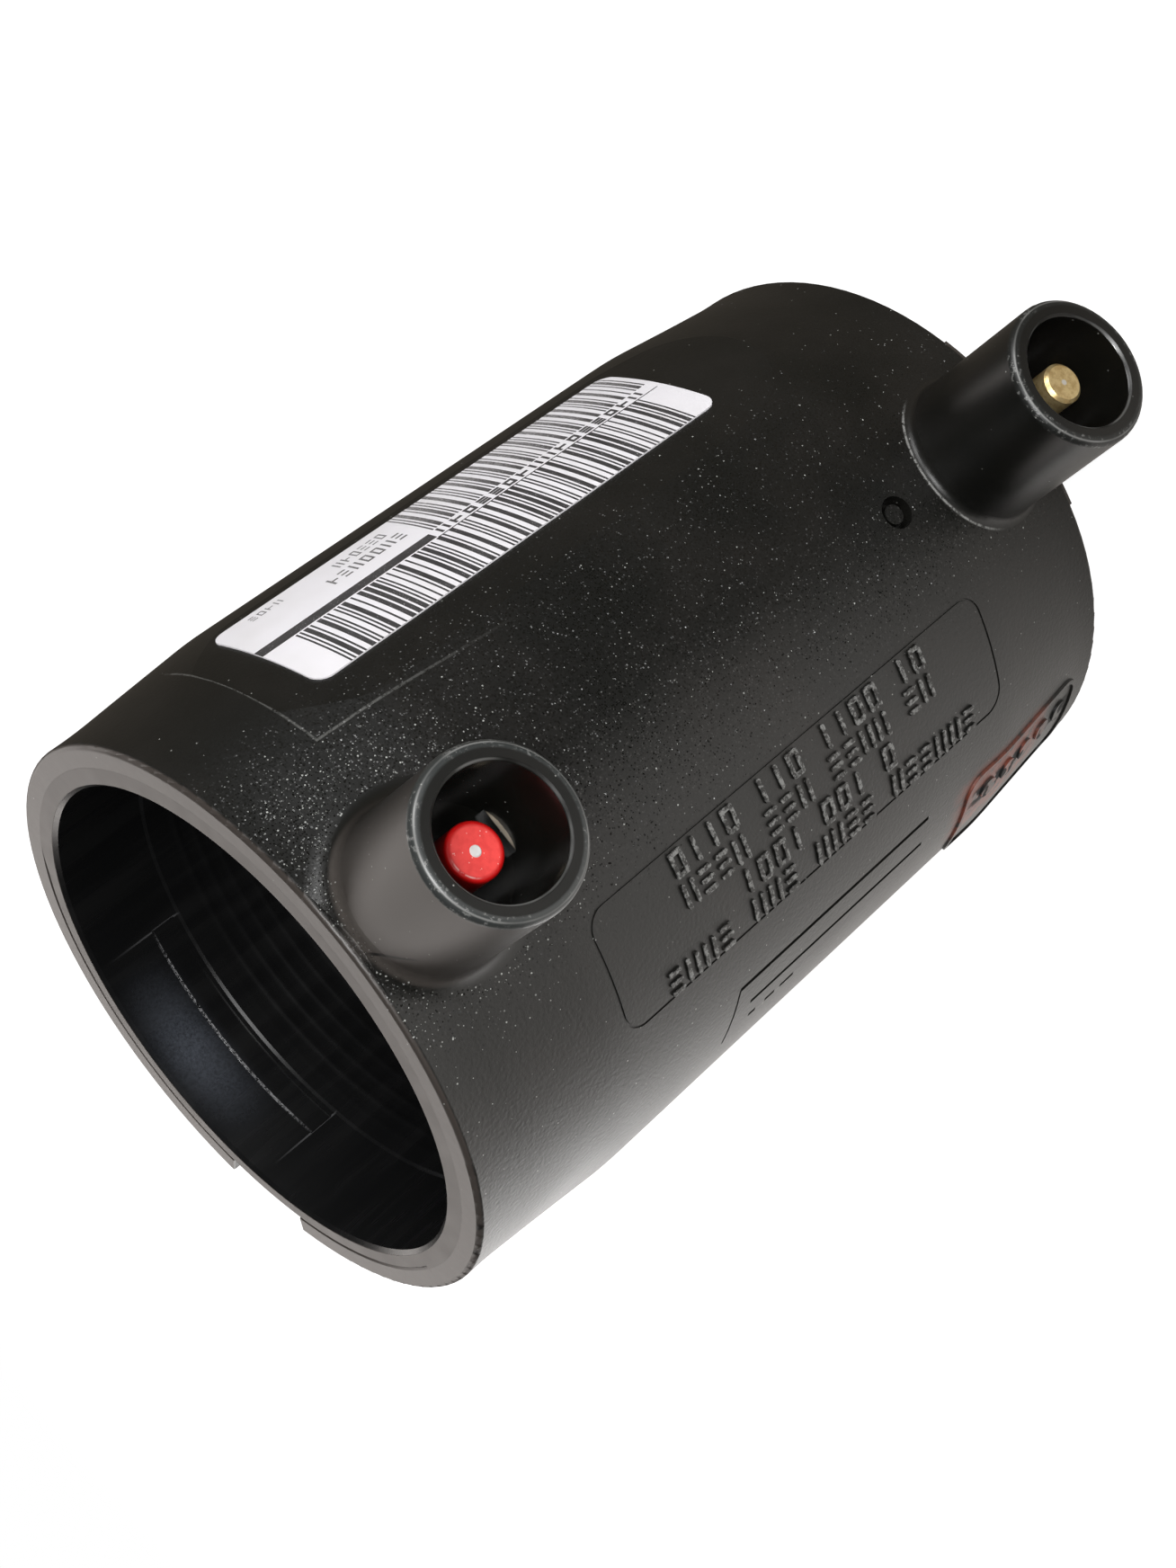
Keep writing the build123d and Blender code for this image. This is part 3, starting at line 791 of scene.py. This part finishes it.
@dataclass(frozen=True)
class PlainSolid:
    """A finish of one colour with a fine grain, for what hardly shows."""

    name: str
    colour: Colour
    roughness: float = 0.5
    metallic: float = 0.0

    def material(self) -> bpy.types.Material:
        """Makes the material.

        Returns:
            The material.
        """
        g = Graph(self.name)
        grain = g.noise(0.5, 3.0)
        darker = tuple(c * 0.7 for c in self.colour)
        return g.finish({
            "Base Color": g.tint(grain, darker, self.colour), "Metallic": self.metallic,
            "Roughness": grain * 0.15 + (self.roughness - 0.07), "Normal": g.bump(grain * 0.006)})


# Meshes

def add_grid(name: str, points: np.ndarray, closed: tuple[bool, bool],
             materials: Sequence[bpy.types.Material]) -> bpy.types.Object:
    """Makes a mesh from a grid of points.

    Cell (i, j) joins the points i and i + 1 of the rows with j and j + 1 of the columns, and a
    closed direction joins its last point to its first.

    Args:
        name: the piece's name.
        points: rows by columns by 3, in millimetres.
        closed: whether the rows and the columns close on themselves.
        materials: the piece's materials.

    Returns:
        The object, at the origin.
    """
    rows, columns = points.shape[:2]
    i = np.arange(rows if closed[0] else rows - 1)
    j = np.arange(columns if closed[1] else columns - 1)
    i, j = (a.ravel() for a in np.meshgrid(i, j, indexing="ij"))
    i2, j2 = (i + 1) % rows, (j + 1) % columns
    quads = np.stack([i * columns + j, i2 * columns + j, i2 * columns + j2, i * columns + j2], 1)
    return add_mesh(name, points.reshape(-1, 3), quads, materials)


def add_mesh(name: str, points: np.ndarray, quads: np.ndarray, materials: Sequence[bpy.types.Material],
             cell_materials: np.ndarray | None = None) -> bpy.types.Object:
    """Puts points and four-sided faces into a new object.

    Args:
        name: the piece's name.
        points: the points, in millimetres.
        quads: four point numbers a face, anticlockwise from outside.
        materials: the piece's materials.
        cell_materials: the place of each face's material.

    Returns:
        The object.
    """
    mesh = bpy.data.meshes.new(name)
    mesh.vertices.add(len(points))
    mesh.vertices.foreach_set("co", (points * MM).astype(np.float32).ravel())
    mesh.loops.add(quads.size)
    mesh.loops.foreach_set("vertex_index", quads.astype(np.int32).ravel())
    mesh.polygons.add(len(quads))
    mesh.polygons.foreach_set("loop_start", np.arange(0, quads.size, 4, dtype=np.int32))
    mesh.polygons.foreach_set("use_smooth", np.ones(len(quads), bool))
    for material in materials:
        mesh.materials.append(material)
    if cell_materials is not None:
        mesh.polygons.foreach_set("material_index", cell_materials.astype(np.int32).ravel())
    mesh.update(calc_edges=True)
    mesh.validate()
    made = bpy.data.objects.new(name, mesh)
    bpy.context.scene.collection.objects.link(made)
    return made


def finish_mesh(piece: bpy.types.Object, degrees: float) -> bpy.types.Object:
    """Merges points that coincide, and keeps edges sharper than an angle crisp.

    Args:
        piece: the piece.
        degrees: the angle.

    Returns:
        The piece.
    """
    work = bmesh.new()
    work.from_mesh(piece.data)
    bmesh.ops.remove_doubles(work, verts=work.verts, dist=2e-7)
    work.to_mesh(piece.data)
    work.free()
    piece.data.set_sharp_from_angle(angle=math.radians(degrees))
    return piece


def stand_in_for(piece: bpy.types.Object, node: str) -> None:
    """Lets a piece stand for a CAD node.

    Args:
        piece: the piece.
        node: the node.
    """
    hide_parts(node)
    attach(piece, "root")
    LOG.info("%s stands for %s, %d faces", piece.name, node, len(piece.data.polygons))


def on_bore(radius: np.ndarray, bearing: np.ndarray, z: np.ndarray) -> np.ndarray:
    """Points from cylinder coordinates: (-r sin b, -r cos b, z), with the bearing b in degrees."""
    turn = np.radians(bearing)
    return np.stack(np.broadcast_arrays(-radius * np.sin(turn), -radius * np.cos(turn), z), -1)


def lines_between(*runs: tuple[float, float, int]) -> np.ndarray:
    """Ordered grid lines: for each run, its start and even steps up to but without its end."""
    return np.concatenate([np.linspace(start, end, count, endpoint=False) for start, end, count in runs])


def smooth_step(value: np.ndarray, low: float, high: float) -> np.ndarray:
    """0 below low, 1 above high, and 3t^2 - 2t^3 between, t being the share of the way."""
    t = np.clip((value - low) / (high - low), 0.0, 1.0)
    return t * t * (3 - 2 * t)


def dress(node: str, material: bpy.types.Material) -> None:
    """Gives a CAD node a material.

    Args:
        node: the node's name.
        material: the material.
    """
    piece = frame["nodes"][node]
    if not piece.material_slots:
        piece.data.materials.append(material)
    for place in piece.material_slots:
        place.material = material


# Wire and coil carrier

@dataclass
class Winding:
    """The resistance wire: two close windings, a link between them and a lead to each terminal."""

    radius: float = 0.3
    coil_radius: float = 26.15
    drop: float = 12.4
    pitch: float = 1.85
    turns: int = 12
    root_bottom: float = 31.2
    bend: float = 1.2
    steps_per_turn: int = 60
    sides: int = 8

    def zone(self) -> Span:
        """The drops between which a winding lies, from its end face."""
        return self.drop, self.drop + self.turns * self.pitch

    def lead_in(self) -> Span:
        """Where the wire's first turn starts, and how far it advances in a turn."""
        low, high = self.zone()
        return low + self.radius, (high - low - 2 * self.radius) / (self.turns - 0.5)

    def _half(self, terminal: float) -> np.ndarray:
        """Half of the wire's line, from a terminal's root to the middle of the link.

        The line is worked out in three numbers: how far out it is, how far round, and how far
        down from the end face. Straight runs meet in quarter circles, and the winding advances by
        one pitch a turn over half a turn less than its count.

        Args:
            terminal: the terminal's distance from its end face.

        Returns:
            The points, and beside each the side vector of its section.
        """
        high = self.zone()[1]
        arc = np.linspace(0, math.pi / 2, 7)[:, None]
        c, r = self.bend, self.coil_radius
        first, advance = self.lead_in()
        last = high - self.radius
        turned = 360.0 * (self.turns - 0.5)
        bend_angle = math.degrees(c / r)
        stub = np.array([[self.root_bottom, 0.0, terminal], [r + c, 0.0, terminal]])
        into = np.hstack([r + c - c * np.sin(arc), arc * 0, terminal + c - c * np.cos(arc)])
        lead = np.array([[r, 0.0, terminal + c + (first - c - terminal - c) * t] for t in (0.25, 0.5, 0.75)])
        onto = np.hstack([arc * 0 + r, bend_angle * (1 - np.cos(arc)), first - c + c * np.sin(arc)])
        round_ = np.linspace(bend_angle, turned - bend_angle, self.steps_per_turn * self.turns)[1:-1, None]
        coil = np.hstack([round_ * 0 + r, round_, first + advance * round_ / 360])
        off = np.hstack([arc * 0 + r, turned - bend_angle * (1 - np.sin(arc)), last + c - c * np.cos(arc)])
        link = np.array([[r, turned, LENGTH / 2 - (LENGTH / 2 - last - c) * t] for t in (0.66, 0.33)])
        line = np.vstack([stub, into, lead, onto, coil, off, link])
        points = on_bore(line[:, 0], line[:, 1], line[:, 2])
        across = np.array([[1.0, 0.0, 0.0]]) * np.ones((len(line), 1))
        outward = on_bore(np.ones(len(line)), line[:, 1], 0.0)
        bent = len(stub) + len(into)
        share = smooth_step(np.arange(len(line)), bent - 1, bent + len(lead))
        return np.hstack([points, across * (1 - share[:, None]) + outward * share[:, None]])

    def build(self) -> bpy.types.Object:
        """Makes the wire: a round section carried along its line, closed at both ends.

        A point of the section is the line's point plus the radius times the cosine of its angle
        along the side vector and the sine along the third vector.

        Returns:
            The wire.
        """
        lower = self._half(LOWER_TERMINAL_Z)
        upper = self._half(LENGTH - UPPER_TERMINAL_Z)[::-1]
        upper = upper * [-1, 1, -1, -1, 1, -1] + [0, 0, LENGTH, 0, 0, 0]
        line = np.vstack([lower, upper])
        points, side = line[:, :3], line[:, 3:]
        along = np.gradient(points, axis=0)
        along /= np.linalg.norm(along, axis=1, keepdims=True)
        side = side - along * (side * along).sum(1, keepdims=True)
        side /= np.linalg.norm(side, axis=1, keepdims=True)
        third = np.cross(along, side)
        angle = np.linspace(0, 2 * math.pi, self.sides, endpoint=False)[None, :, None]
        round_line = np.cos(angle) * side[:, None] + np.sin(angle) * third[:, None]
        ring = points[:, None] + self.radius * round_line
        ends = [np.broadcast_to(points[i][None, None], (1, self.sides, 3)) for i in (0, -1)]
        tube = np.concatenate([ends[0], ring, ends[1]])
        finish = PlainSolid("resistance_wire", (0.62, 0.5, 0.4), 0.4, 1.0).material()
        return finish_mesh(add_grid("resistance_wire", tube, (False, True), [finish]), 50)


@dataclass
class CoilCarrier:
    """The inner sleeve, whose bore shows the ridges of the winding below its skin."""

    entry_radius: float = FUSION_BORE_R + 0.2
    entry_length: float = 10.0
    entry_step: float = 0.3
    mouth_chamfer: float = 0.4
    stop_radius: float = 23.9
    stop_width: float = 3.0
    pocket_depth: float = 0.3
    pocket_drops: Span = (6.8, 9.6)
    pocket_bearings: Span = (149.5, 210.0)
    outer_chamfer: float = 0.2
    open_seam: Span = (91.5, 236.0)
    ridge_height: float = 0.09
    winding: Winding = field(default_factory=Winding)
    columns: int = 180
    rows_per_turn: int = 9
    seam_fades: Span = (0.4, 8.0)

    def _half_rows(self) -> np.ndarray:
        """Heights of the bore's grid lines from an end face to the middle.

        Returns:
            Distances from the end face, each edge of a step having a line of its own.
        """
        low, high = self.winding.zone()
        middle = LENGTH / 2 - self.stop_width / 2
        near, far = self.pocket_drops
        return np.concatenate([
            [0.0, self.mouth_chamfer / 2, self.mouth_chamfer],
            lines_between(
                (1.0, near, 5), (near, near + 0.05, 1), (near + 0.05, far - 0.05, 4), (far - 0.05, far, 1)),
            [far, self.entry_length, self.entry_length + self.entry_step],
            lines_between((low - 0.9, high + 0.9, self.winding.turns * self.rows_per_turn)),
            lines_between((high + 0.9, middle - self.entry_step, 4)), [middle - self.entry_step, middle]])

    def _bore(self, down: np.ndarray, bearing: np.ndarray, hand: float) -> np.ndarray:
        """Radius of the bore.

        The entry is a cylinder with a chamfered mouth, a small step leads to the fusion bore, and a
        cone rises to the stop. A ridge is the sixth power of a cosine whose crest follows the wire
        below it, and it fades out at both ends of the winding.

        Args:
            down: distances from the nearer end face, in a column.
            bearing: bearings in a row.
            hand: 1 where the winding turns with the bearing, -1 where it turns against it.

        Returns:
            The radii.
        """
        middle = LENGTH / 2 - self.stop_width / 2
        radius = np.interp(down, [
            0.0, self.mouth_chamfer, self.entry_length, self.entry_length + self.entry_step,
            middle - self.entry_step, middle], [
            self.entry_radius + self.mouth_chamfer, self.entry_radius, self.entry_radius, FUSION_BORE_R,
            FUSION_BORE_R, self.stop_radius])
        low, high = self.winding.zone()
        first, advance = self.winding.lead_in()
        phase = (down - first) / advance - hand * bearing / 360
        wave = np.cos(math.pi * phase) ** 6
        inside = smooth_step(down, low - 0.8, low + 0.4) * (1 - smooth_step(down, high - 0.4, high + 0.8))
        radius = radius - self.ridge_height * wave * inside
        start, end = self.pocket_bearings
        sunk = (down > self.pocket_drops[0] + 0.01) & (down < self.pocket_drops[1] - 0.01)
        sunk = sunk & (bearing > start + 0.03) & (bearing < end - 0.03)
        return np.where(sunk, self.entry_radius + self.pocket_depth, radius)

    def build(self) -> bpy.types.Object:
        """Makes the sleeve: the bore's outline and the outside, carried round the axis.

        Outside the open part of the seam, the edge runs out to fill the body's chamfer.

        Returns:
            The sleeve.
        """
        start, end = self.pocket_bearings
        opens, shuts = self.open_seam
        seam = [opens - self.seam_fades[0], opens, shuts, shuts + self.seam_fades[1]]
        even = np.arange(self.columns) * 360 / self.columns
        bearing = np.unique(np.concatenate([even, [start, start + 0.1, end - 0.1, end], seam]))[None, :]
        down = self._half_rows()[:, None]
        lower = on_bore(self._bore(down, bearing, 1.0), bearing, down)
        upper = on_bore(self._bore(down, bearing, -1.0), bearing, LENGTH - down)
        edge = self.outer_chamfer
        opened = np.interp(bearing, seam, [0, 1, 1, 0])
        rim_r = SLEEVE_R + edge * (0.93 - 1.93 * opened)
        wall_z = np.array([LENGTH, LENGTH - edge, LENGTH / 2, edge, 0.0])[:, None]
        wall_r = np.vstack([rim_r, np.full((3, bearing.size), SLEEVE_R), rim_r])
        outside = on_bore(wall_r, bearing, wall_z)
        points = np.concatenate([lower, upper[::-1], outside])
        sleeve = add_grid("coil_carrier", points, (True, True), [SleevePolyethylene().material()])
        return finish_mesh(sleeve, 24)


# Label

@dataclass
class BarcodeLabel:
    """The printed paper label, whose print is cells of the sheet itself."""

    edges: Span = (-6.25, 9.35)
    drops: Span = (15.3, 67.0)
    corner: float = 1.6
    thickness: float = 0.15
    pad_bearing: float = -49.65
    pad_curve: float = 51.2
    pad_centre: float = 21.089
    module: float = 0.223
    wide: float = 2.5
    lower_code: tuple[float, float, float, float] = (-6.25, 1.1, 18.9, 63.7)
    upper_code: tuple[float, float, float, float] = (2.67, 9.35, 37.1, 67.0)
    band: tuple[float, float, float, float] = (1.27, 2.5, 15.3, 36.4)
    base_line: tuple[float, float, float, float] = (1.04, 1.18, 36.4, 66.4)
    seed: int = 7

    def _bars(self, area: tuple[float, float, float, float]) -> np.ndarray:
        """Bars across an area, in a pattern of two wide elements in every five.

        Args:
            area: its two edges across the label and its two drops.

        Returns:
            The bars, as (edge, edge, drop, drop).
        """
        x0, x1, first, last = area
        draw = np.random.default_rng(self.seed + int(first))
        fives = np.argsort(draw.random((64, 5)), axis=1) < 2
        widths = np.where(fives.reshape(32, 2, 5).transpose(0, 2, 1).reshape(-1), self.wide, 1.0)
        widths = np.concatenate([np.ones(4), widths]) * self.module
        ends = first + np.cumsum(widths)
        starts = ends - widths
        dark = (np.arange(len(widths)) % 2 == 0) & (ends < last)
        count = int(dark.sum())
        return np.stack([np.full(count, x0), np.full(count, x1), starts[dark], ends[dark]], 1)

    @staticmethod
    def _marks(x: Span, first: float, last: float, step: float, stroke: float) -> np.ndarray:
        """A row of small plain marks, each a frame, a pair of bars, one bar or three rungs.

        Args:
            x: the row's two edges across the label.
            first: the first drop.
            last: the last drop.
            step: the distance from mark to mark.
            stroke: the width of their strokes.

        Returns:
            The marks' strokes, as (edge, edge, drop, drop).
        """
        p, q = x
        middle = (p + q) / 2
        rows = []
        for place in range(int((last - first) / step)):
            a = first + place * step
            b = a + step * 0.68
            sides = [(p, q, a, a + stroke), (p, q, b - stroke, b)]
            rungs = [(p, p + stroke, a, b), (q - stroke, q, a, b)]
            centre = [(middle - stroke / 2, middle + stroke / 2, a, b)]
            kinds = (sides + rungs, sides, sides[:1] + centre, rungs + centre)
            rows += kinds[(place * (place + 1) // 2 + int(first)) % 4]
        return np.array(rows)

    def _print(self) -> np.ndarray:
        """All that is printed, as (edge, edge, drop, drop)."""
        return np.vstack([
            self._bars(self.lower_code), self._bars(self.upper_code), np.array([self.band, self.base_line]),
            self._marks((1.38, 2.5), 37.2, 66.2, 1.75, 0.34),
            self._marks((4.5, 6.0), 26.6, 36.1, 1.35, 0.25),
            self._marks((6.75, 8.05), 29.0, 36.3, 1.05, 0.2),
            self._marks((7.6, 8.5), 19.2, 23.3, 1.0, 0.16)])

    def _place(self, x: np.ndarray, drop: np.ndarray, rise: float) -> np.ndarray:
        """Points of the sheet, bent round the pad.

        Within a corner's radius of two edges, the square (a, b) measured from the corner's centre
        becomes a quarter disc: a * sqrt(1 - b^2 / 2) and b * sqrt(1 - a^2 / 2).

        Args:
            x: places across the label.
            drop: drops.
            rise: height above the pad.

        Returns:
            The points.
        """
        r = self.corner
        low, high = self.edges[0] + r, self.edges[1] - r
        near, far = self.drops[0] + r, self.drops[1] - r
        a = (x - np.clip(x, low, high)) / r
        b = (drop - np.clip(drop, near, far)) / r
        x = np.clip(x, low, high) + r * a * np.sqrt(1 - b * b / 2)
        drop = np.clip(drop, near, far) + r * b * np.sqrt(1 - a * a / 2)
        out = np.sqrt((self.pad_curve + rise) ** 2 - x * x) - self.pad_centre
        turn = math.radians(self.pad_bearing)
        face = np.array([-math.sin(turn), -math.cos(turn)])
        level = np.array([-face[1], face[0]])
        plane = out[..., None] * face + x[..., None] * level
        return np.concatenate([plane, (LENGTH - drop)[..., None]], -1)

    def build(self) -> bpy.types.Object:
        """Makes the sheet: an upper and a lower grid whose lines follow the print, and the cut edge.

        Returns:
            The label.
        """
        ink = self._print()
        x = self._lines(ink[:, :2], self.edges)
        drop = self._lines(ink[:, 2:], self.drops)
        grid = np.meshgrid(x, drop, indexing="ij")
        layers = [self._place(*grid, rise) for rise in (0.0, self.thickness)]
        rows, columns = len(x), len(drop)
        number = np.arange(rows * columns).reshape(rows, columns)
        corners = [number[:-1, :-1], number[1:, :-1], number[1:, 1:], number[:-1, 1:]]
        cells = np.stack(corners, -1).reshape(-1, 4)
        rim = np.concatenate([number[0, :-1], number[:-1, -1], number[-1, :0:-1], number[:0:-1, 0]])
        top = number.size
        wall = np.stack([rim, np.roll(rim, -1), np.roll(rim, -1) + top, rim + top], 1)
        quads = np.concatenate([cells[:, ::-1] + top, cells, wall[:, ::-1]])
        middle = [(v[:-1] + v[1:]) / 2 for v in (x, drop)]
        dark = ((middle[0][:, None, None] > ink[:, 0]) & (middle[0][:, None, None] < ink[:, 1])
                & (middle[1][None, :, None] > ink[:, 2]) & (middle[1][None, :, None] < ink[:, 3])).any(2)
        inked = np.concatenate([dark.ravel(), np.zeros(len(cells) + len(wall), bool)])
        points = np.concatenate([layer.reshape(-1, 3) for layer in layers])
        finishes = [LabelPaper().material(), LabelInk().material()]
        return finish_mesh(add_mesh("printed_label", points, quads, finishes, inked), 40)

    @staticmethod
    def _lines(edges: np.ndarray, ends: Span) -> np.ndarray:
        """Grid lines through every printed edge, with others at most about 0.6 mm apart.

        Args:
            edges: where the print's edges are.
            ends: the sheet's two edges.

        Returns:
            The lines in order.
        """
        even = np.linspace(*ends, int((ends[1] - ends[0]) / 0.6))
        exact = np.unique(np.round(np.concatenate([edges.ravel(), ends]), 3))
        exact = exact[(exact >= ends[0]) & (exact <= ends[1])]
        spare = np.abs(even[:, None] - exact).min(1) > 0.2
        return np.sort(np.concatenate([exact, even[spare]]))


@dataclass(frozen=True)
class LabelPaper:
    """White coated paper, a little uneven, with faint fibres."""

    base: Colour = (0.86, 0.84, 0.87)
    aged: Colour = (0.78, 0.76, 0.77)

    def material(self) -> bpy.types.Material:
        """Makes the material.

        Returns:
            The material.
        """
        g = Graph("label_paper")
        fibre = g.noise(0.35, 3.0, 0.6)
        cloud = g.noise(7.0, 2.0)
        return g.finish({
            "Base Color": g.tint(cloud.ramp(0.4, 0.75) * 0.6, self.base, self.aged),
            "Roughness": fibre * 0.1 + 0.33, "Normal": g.bump(fibre * 0.004 + cloud * 0.03)})


@dataclass(frozen=True)
class LabelInk:
    """Transfer print: dark grey, with small pinholes where the paper shows."""

    base: Colour = (0.028, 0.027, 0.029)
    faded_bearings: Span = (-66.0, -52.0)

    def material(self) -> bpy.types.Material:
        """Makes the material.

        Returns:
            The material.
        """
        g = Graph("label_ink")
        worn = g.noise(0.16, 2.0, 0.7)
        cloud = g.noise(3.0, 2.0)
        holes = worn.ramp(0.62, 0.72) * cloud.ramp(0.35, 0.6)
        faded = g.bearing().ramp(*self.faded_bearings, (0.34, 0.0)) * worn.ramp(0.35, 0.55)
        return g.finish({
            "Base Color": g.tint(holes * 0.6 + cloud * 0.06 + faded, self.base, (0.78, 0.76, 0.77)),
            "Roughness": worn * 0.1 + 0.3, "Normal": g.bump(worn * 0.003)})


# Studio

@dataclass(frozen=True)
class Lamp:
    """A soft rectangular lamp."""

    name: str
    place: Point
    size: Span
    watts: float
    colour: Colour = WHITE
    target: Point = (0.0, 0.0, 0.045)
    spread: float = 180.0

    def build(self) -> bpy.types.Object:
        """Adds the lamp, facing its target.

        Returns:
            The lamp.
        """
        data = bpy.data.lights.new(self.name, "AREA")
        data.shape = "RECTANGLE"
        data.size, data.size_y = self.size
        data.energy = self.watts
        data.color = self.colour
        data.spread = math.radians(self.spread)
        lamp = bpy.data.objects.new(self.name, data)
        lamp.location = self.place
        lamp.rotation_euler = (Vector(self.target) - Vector(self.place)).to_track_quat("-Z", "Y").to_euler()
        bpy.context.scene.collection.objects.link(lamp)
        return lamp


@dataclass
class Studio:
    """The camera, the pale floor, the world and the lamps."""

    camera_place: Point = (0.00282, -0.19370, 0.16065)
    camera_turn: Point = (-46.98, 42.23, -146.33)
    lens: float = 52.05
    floor_size: float = 6.0
    world_level: float = 0.02
    paper_grey: float = 0.5
    paper_lift: float = 0.86
    mirrored_tint: Colour = (1.0, 0.95, 0.90)
    mirrored_level: float = 1.0
    dim_tint: Colour = (1.0, 0.86, 0.68)
    dim_level: float = 0.14
    white_distances: Span = (0.3, 0.7)
    dim_half: Span = (-0.06, 0.02)
    dim_places: Span = (-0.12, -0.02)
    lamps: Sequence[Lamp] = (
        Lamp("flash", (0.03, -0.36, 0.30), (0.04, 0.04), 0.5),
        Lamp("camera_box", (0.0, -0.6, 0.5), (0.4, 0.4), 2.9),
        Lamp("front_box", (0.686, -0.686, 0.26), (0.6, 0.4), 5.2),
        Lamp("back_strip", (0.0, 0.7, 0.325), (1.8, 0.25), 3.9, (1.0, 0.94, 0.90)),
        Lamp("paper_lamp", (-0.15, 0.12, 0.30), (0.1, 0.1), 1.4, target=(-0.28, 0.17, 0.0), spread=80.0),
    )

    def build(self) -> None:
        """Adds everything round the coupler."""
        scene = bpy.context.scene
        scene.view_settings.view_transform = "Standard"
        data = bpy.data.cameras.new("camera")
        data.lens = self.lens
        data.sensor_width = 36.0
        data.clip_start = 0.005
        camera = bpy.data.objects.new("camera", data)
        camera.location = self.camera_place
        camera.rotation_euler = Euler([math.radians(a) for a in self.camera_turn])
        scene.collection.objects.link(camera)
        scene.camera = camera
        self._add_floor()
        self._set_world()
        for lamp in self.lamps:
            lamp.build()

    def _add_floor(self) -> None:
        """Adds the floor: a wide sheet, white to the camera apart from the coupler's shadow.

        The camera sees the paper lifted by an even glow, which alone is left far out. Reflections
        see the half towards -X as warm white, and the other as dim, down to black near the camera.
        """
        half = self.floor_size / MM / 2
        steps = np.linspace(-half, half, 5)
        x, y = np.meshgrid(steps, steps, indexing="ij")
        g = Graph("pale_floor")
        camera = g.node("ShaderNodeLightPath", out="Is Camera Ray")
        glossy = g.node("ShaderNodeLightPath", out="Is Glossy Ray")
        paper = g.node("ShaderNodeBsdfDiffuse", {}, {"Color": (*[self.paper_grey] * 3, 1.0)})
        far = (g.bore_radius() * MM).ramp(*self.white_distances)
        seen = g.mixed(far, g.glowing(paper, WHITE, self.paper_lift), g.glow(WHITE, 1.0))
        mirrored = g.glowing(paper, self.mirrored_tint, self.mirrored_level)
        dim = g.mixed((g.y * MM).ramp(*self.dim_places), None, g.glow(self.dim_tint, self.dim_level))
        reflected = g.mixed((g.x * MM).ramp(*self.dim_half), mirrored, dim)
        g.end_in(g.mixed(glossy, g.mixed(camera, paper, seen), reflected))
        floor = add_grid("floor", np.stack([x, y, np.zeros_like(x)], 2), (False, False), [g.material])

    def _set_world(self) -> None:
        """Makes the world an even grey light, white to the camera."""
        world = bpy.data.worlds.new("world")
        bpy.context.scene.world = world
        world.use_nodes = True
        tree = world.node_tree
        background = tree.nodes["Background"]
        path = tree.nodes.new("ShaderNodeLightPath")
        level = tree.nodes.new("ShaderNodeMapRange")
        level.inputs["To Min"].default_value = self.world_level
        level.inputs["To Max"].default_value = 1.0
        tree.links.new(path.outputs["Is Camera Ray"], level.inputs["Value"])
        background.inputs["Color"].default_value = (*WHITE, 1.0)
        tree.links.new(level.outputs["Result"], background.inputs["Strength"])


def main() -> None:
    """Builds the studio and dresses the coupler."""
    logging.basicConfig(level=logging.INFO, format="%(name)s: %(message)s")
    Studio().build()
    dress("outer_body", SparkErodedPolyethylene().material())
    stand_in_for(CoilCarrier().build(), "inner_sleeve")
    stand_in_for(Winding().build(), "heating_wire")
    stand_in_for(BarcodeLabel().build(), "barcode_label")
    dress("red_collar", RedPolymer().material())
    dress("lower_terminal_pin", TurnedMetal("turned_brass", LOWER_TERMINAL_Z).material())
    dress("upper_terminal_pin", TurnedMetal("turned_contact", UPPER_TERMINAL_Z).material())
    dress("contact_stud", PlainSolid("tinned_stud", (0.9, 0.89, 0.87), 0.35).material())
    dress("ident_resistor", PlainSolid("resistor_ceramic", (0.75, 0.7, 0.6), 0.7).material())


if __name__ == "__main__":
    main()
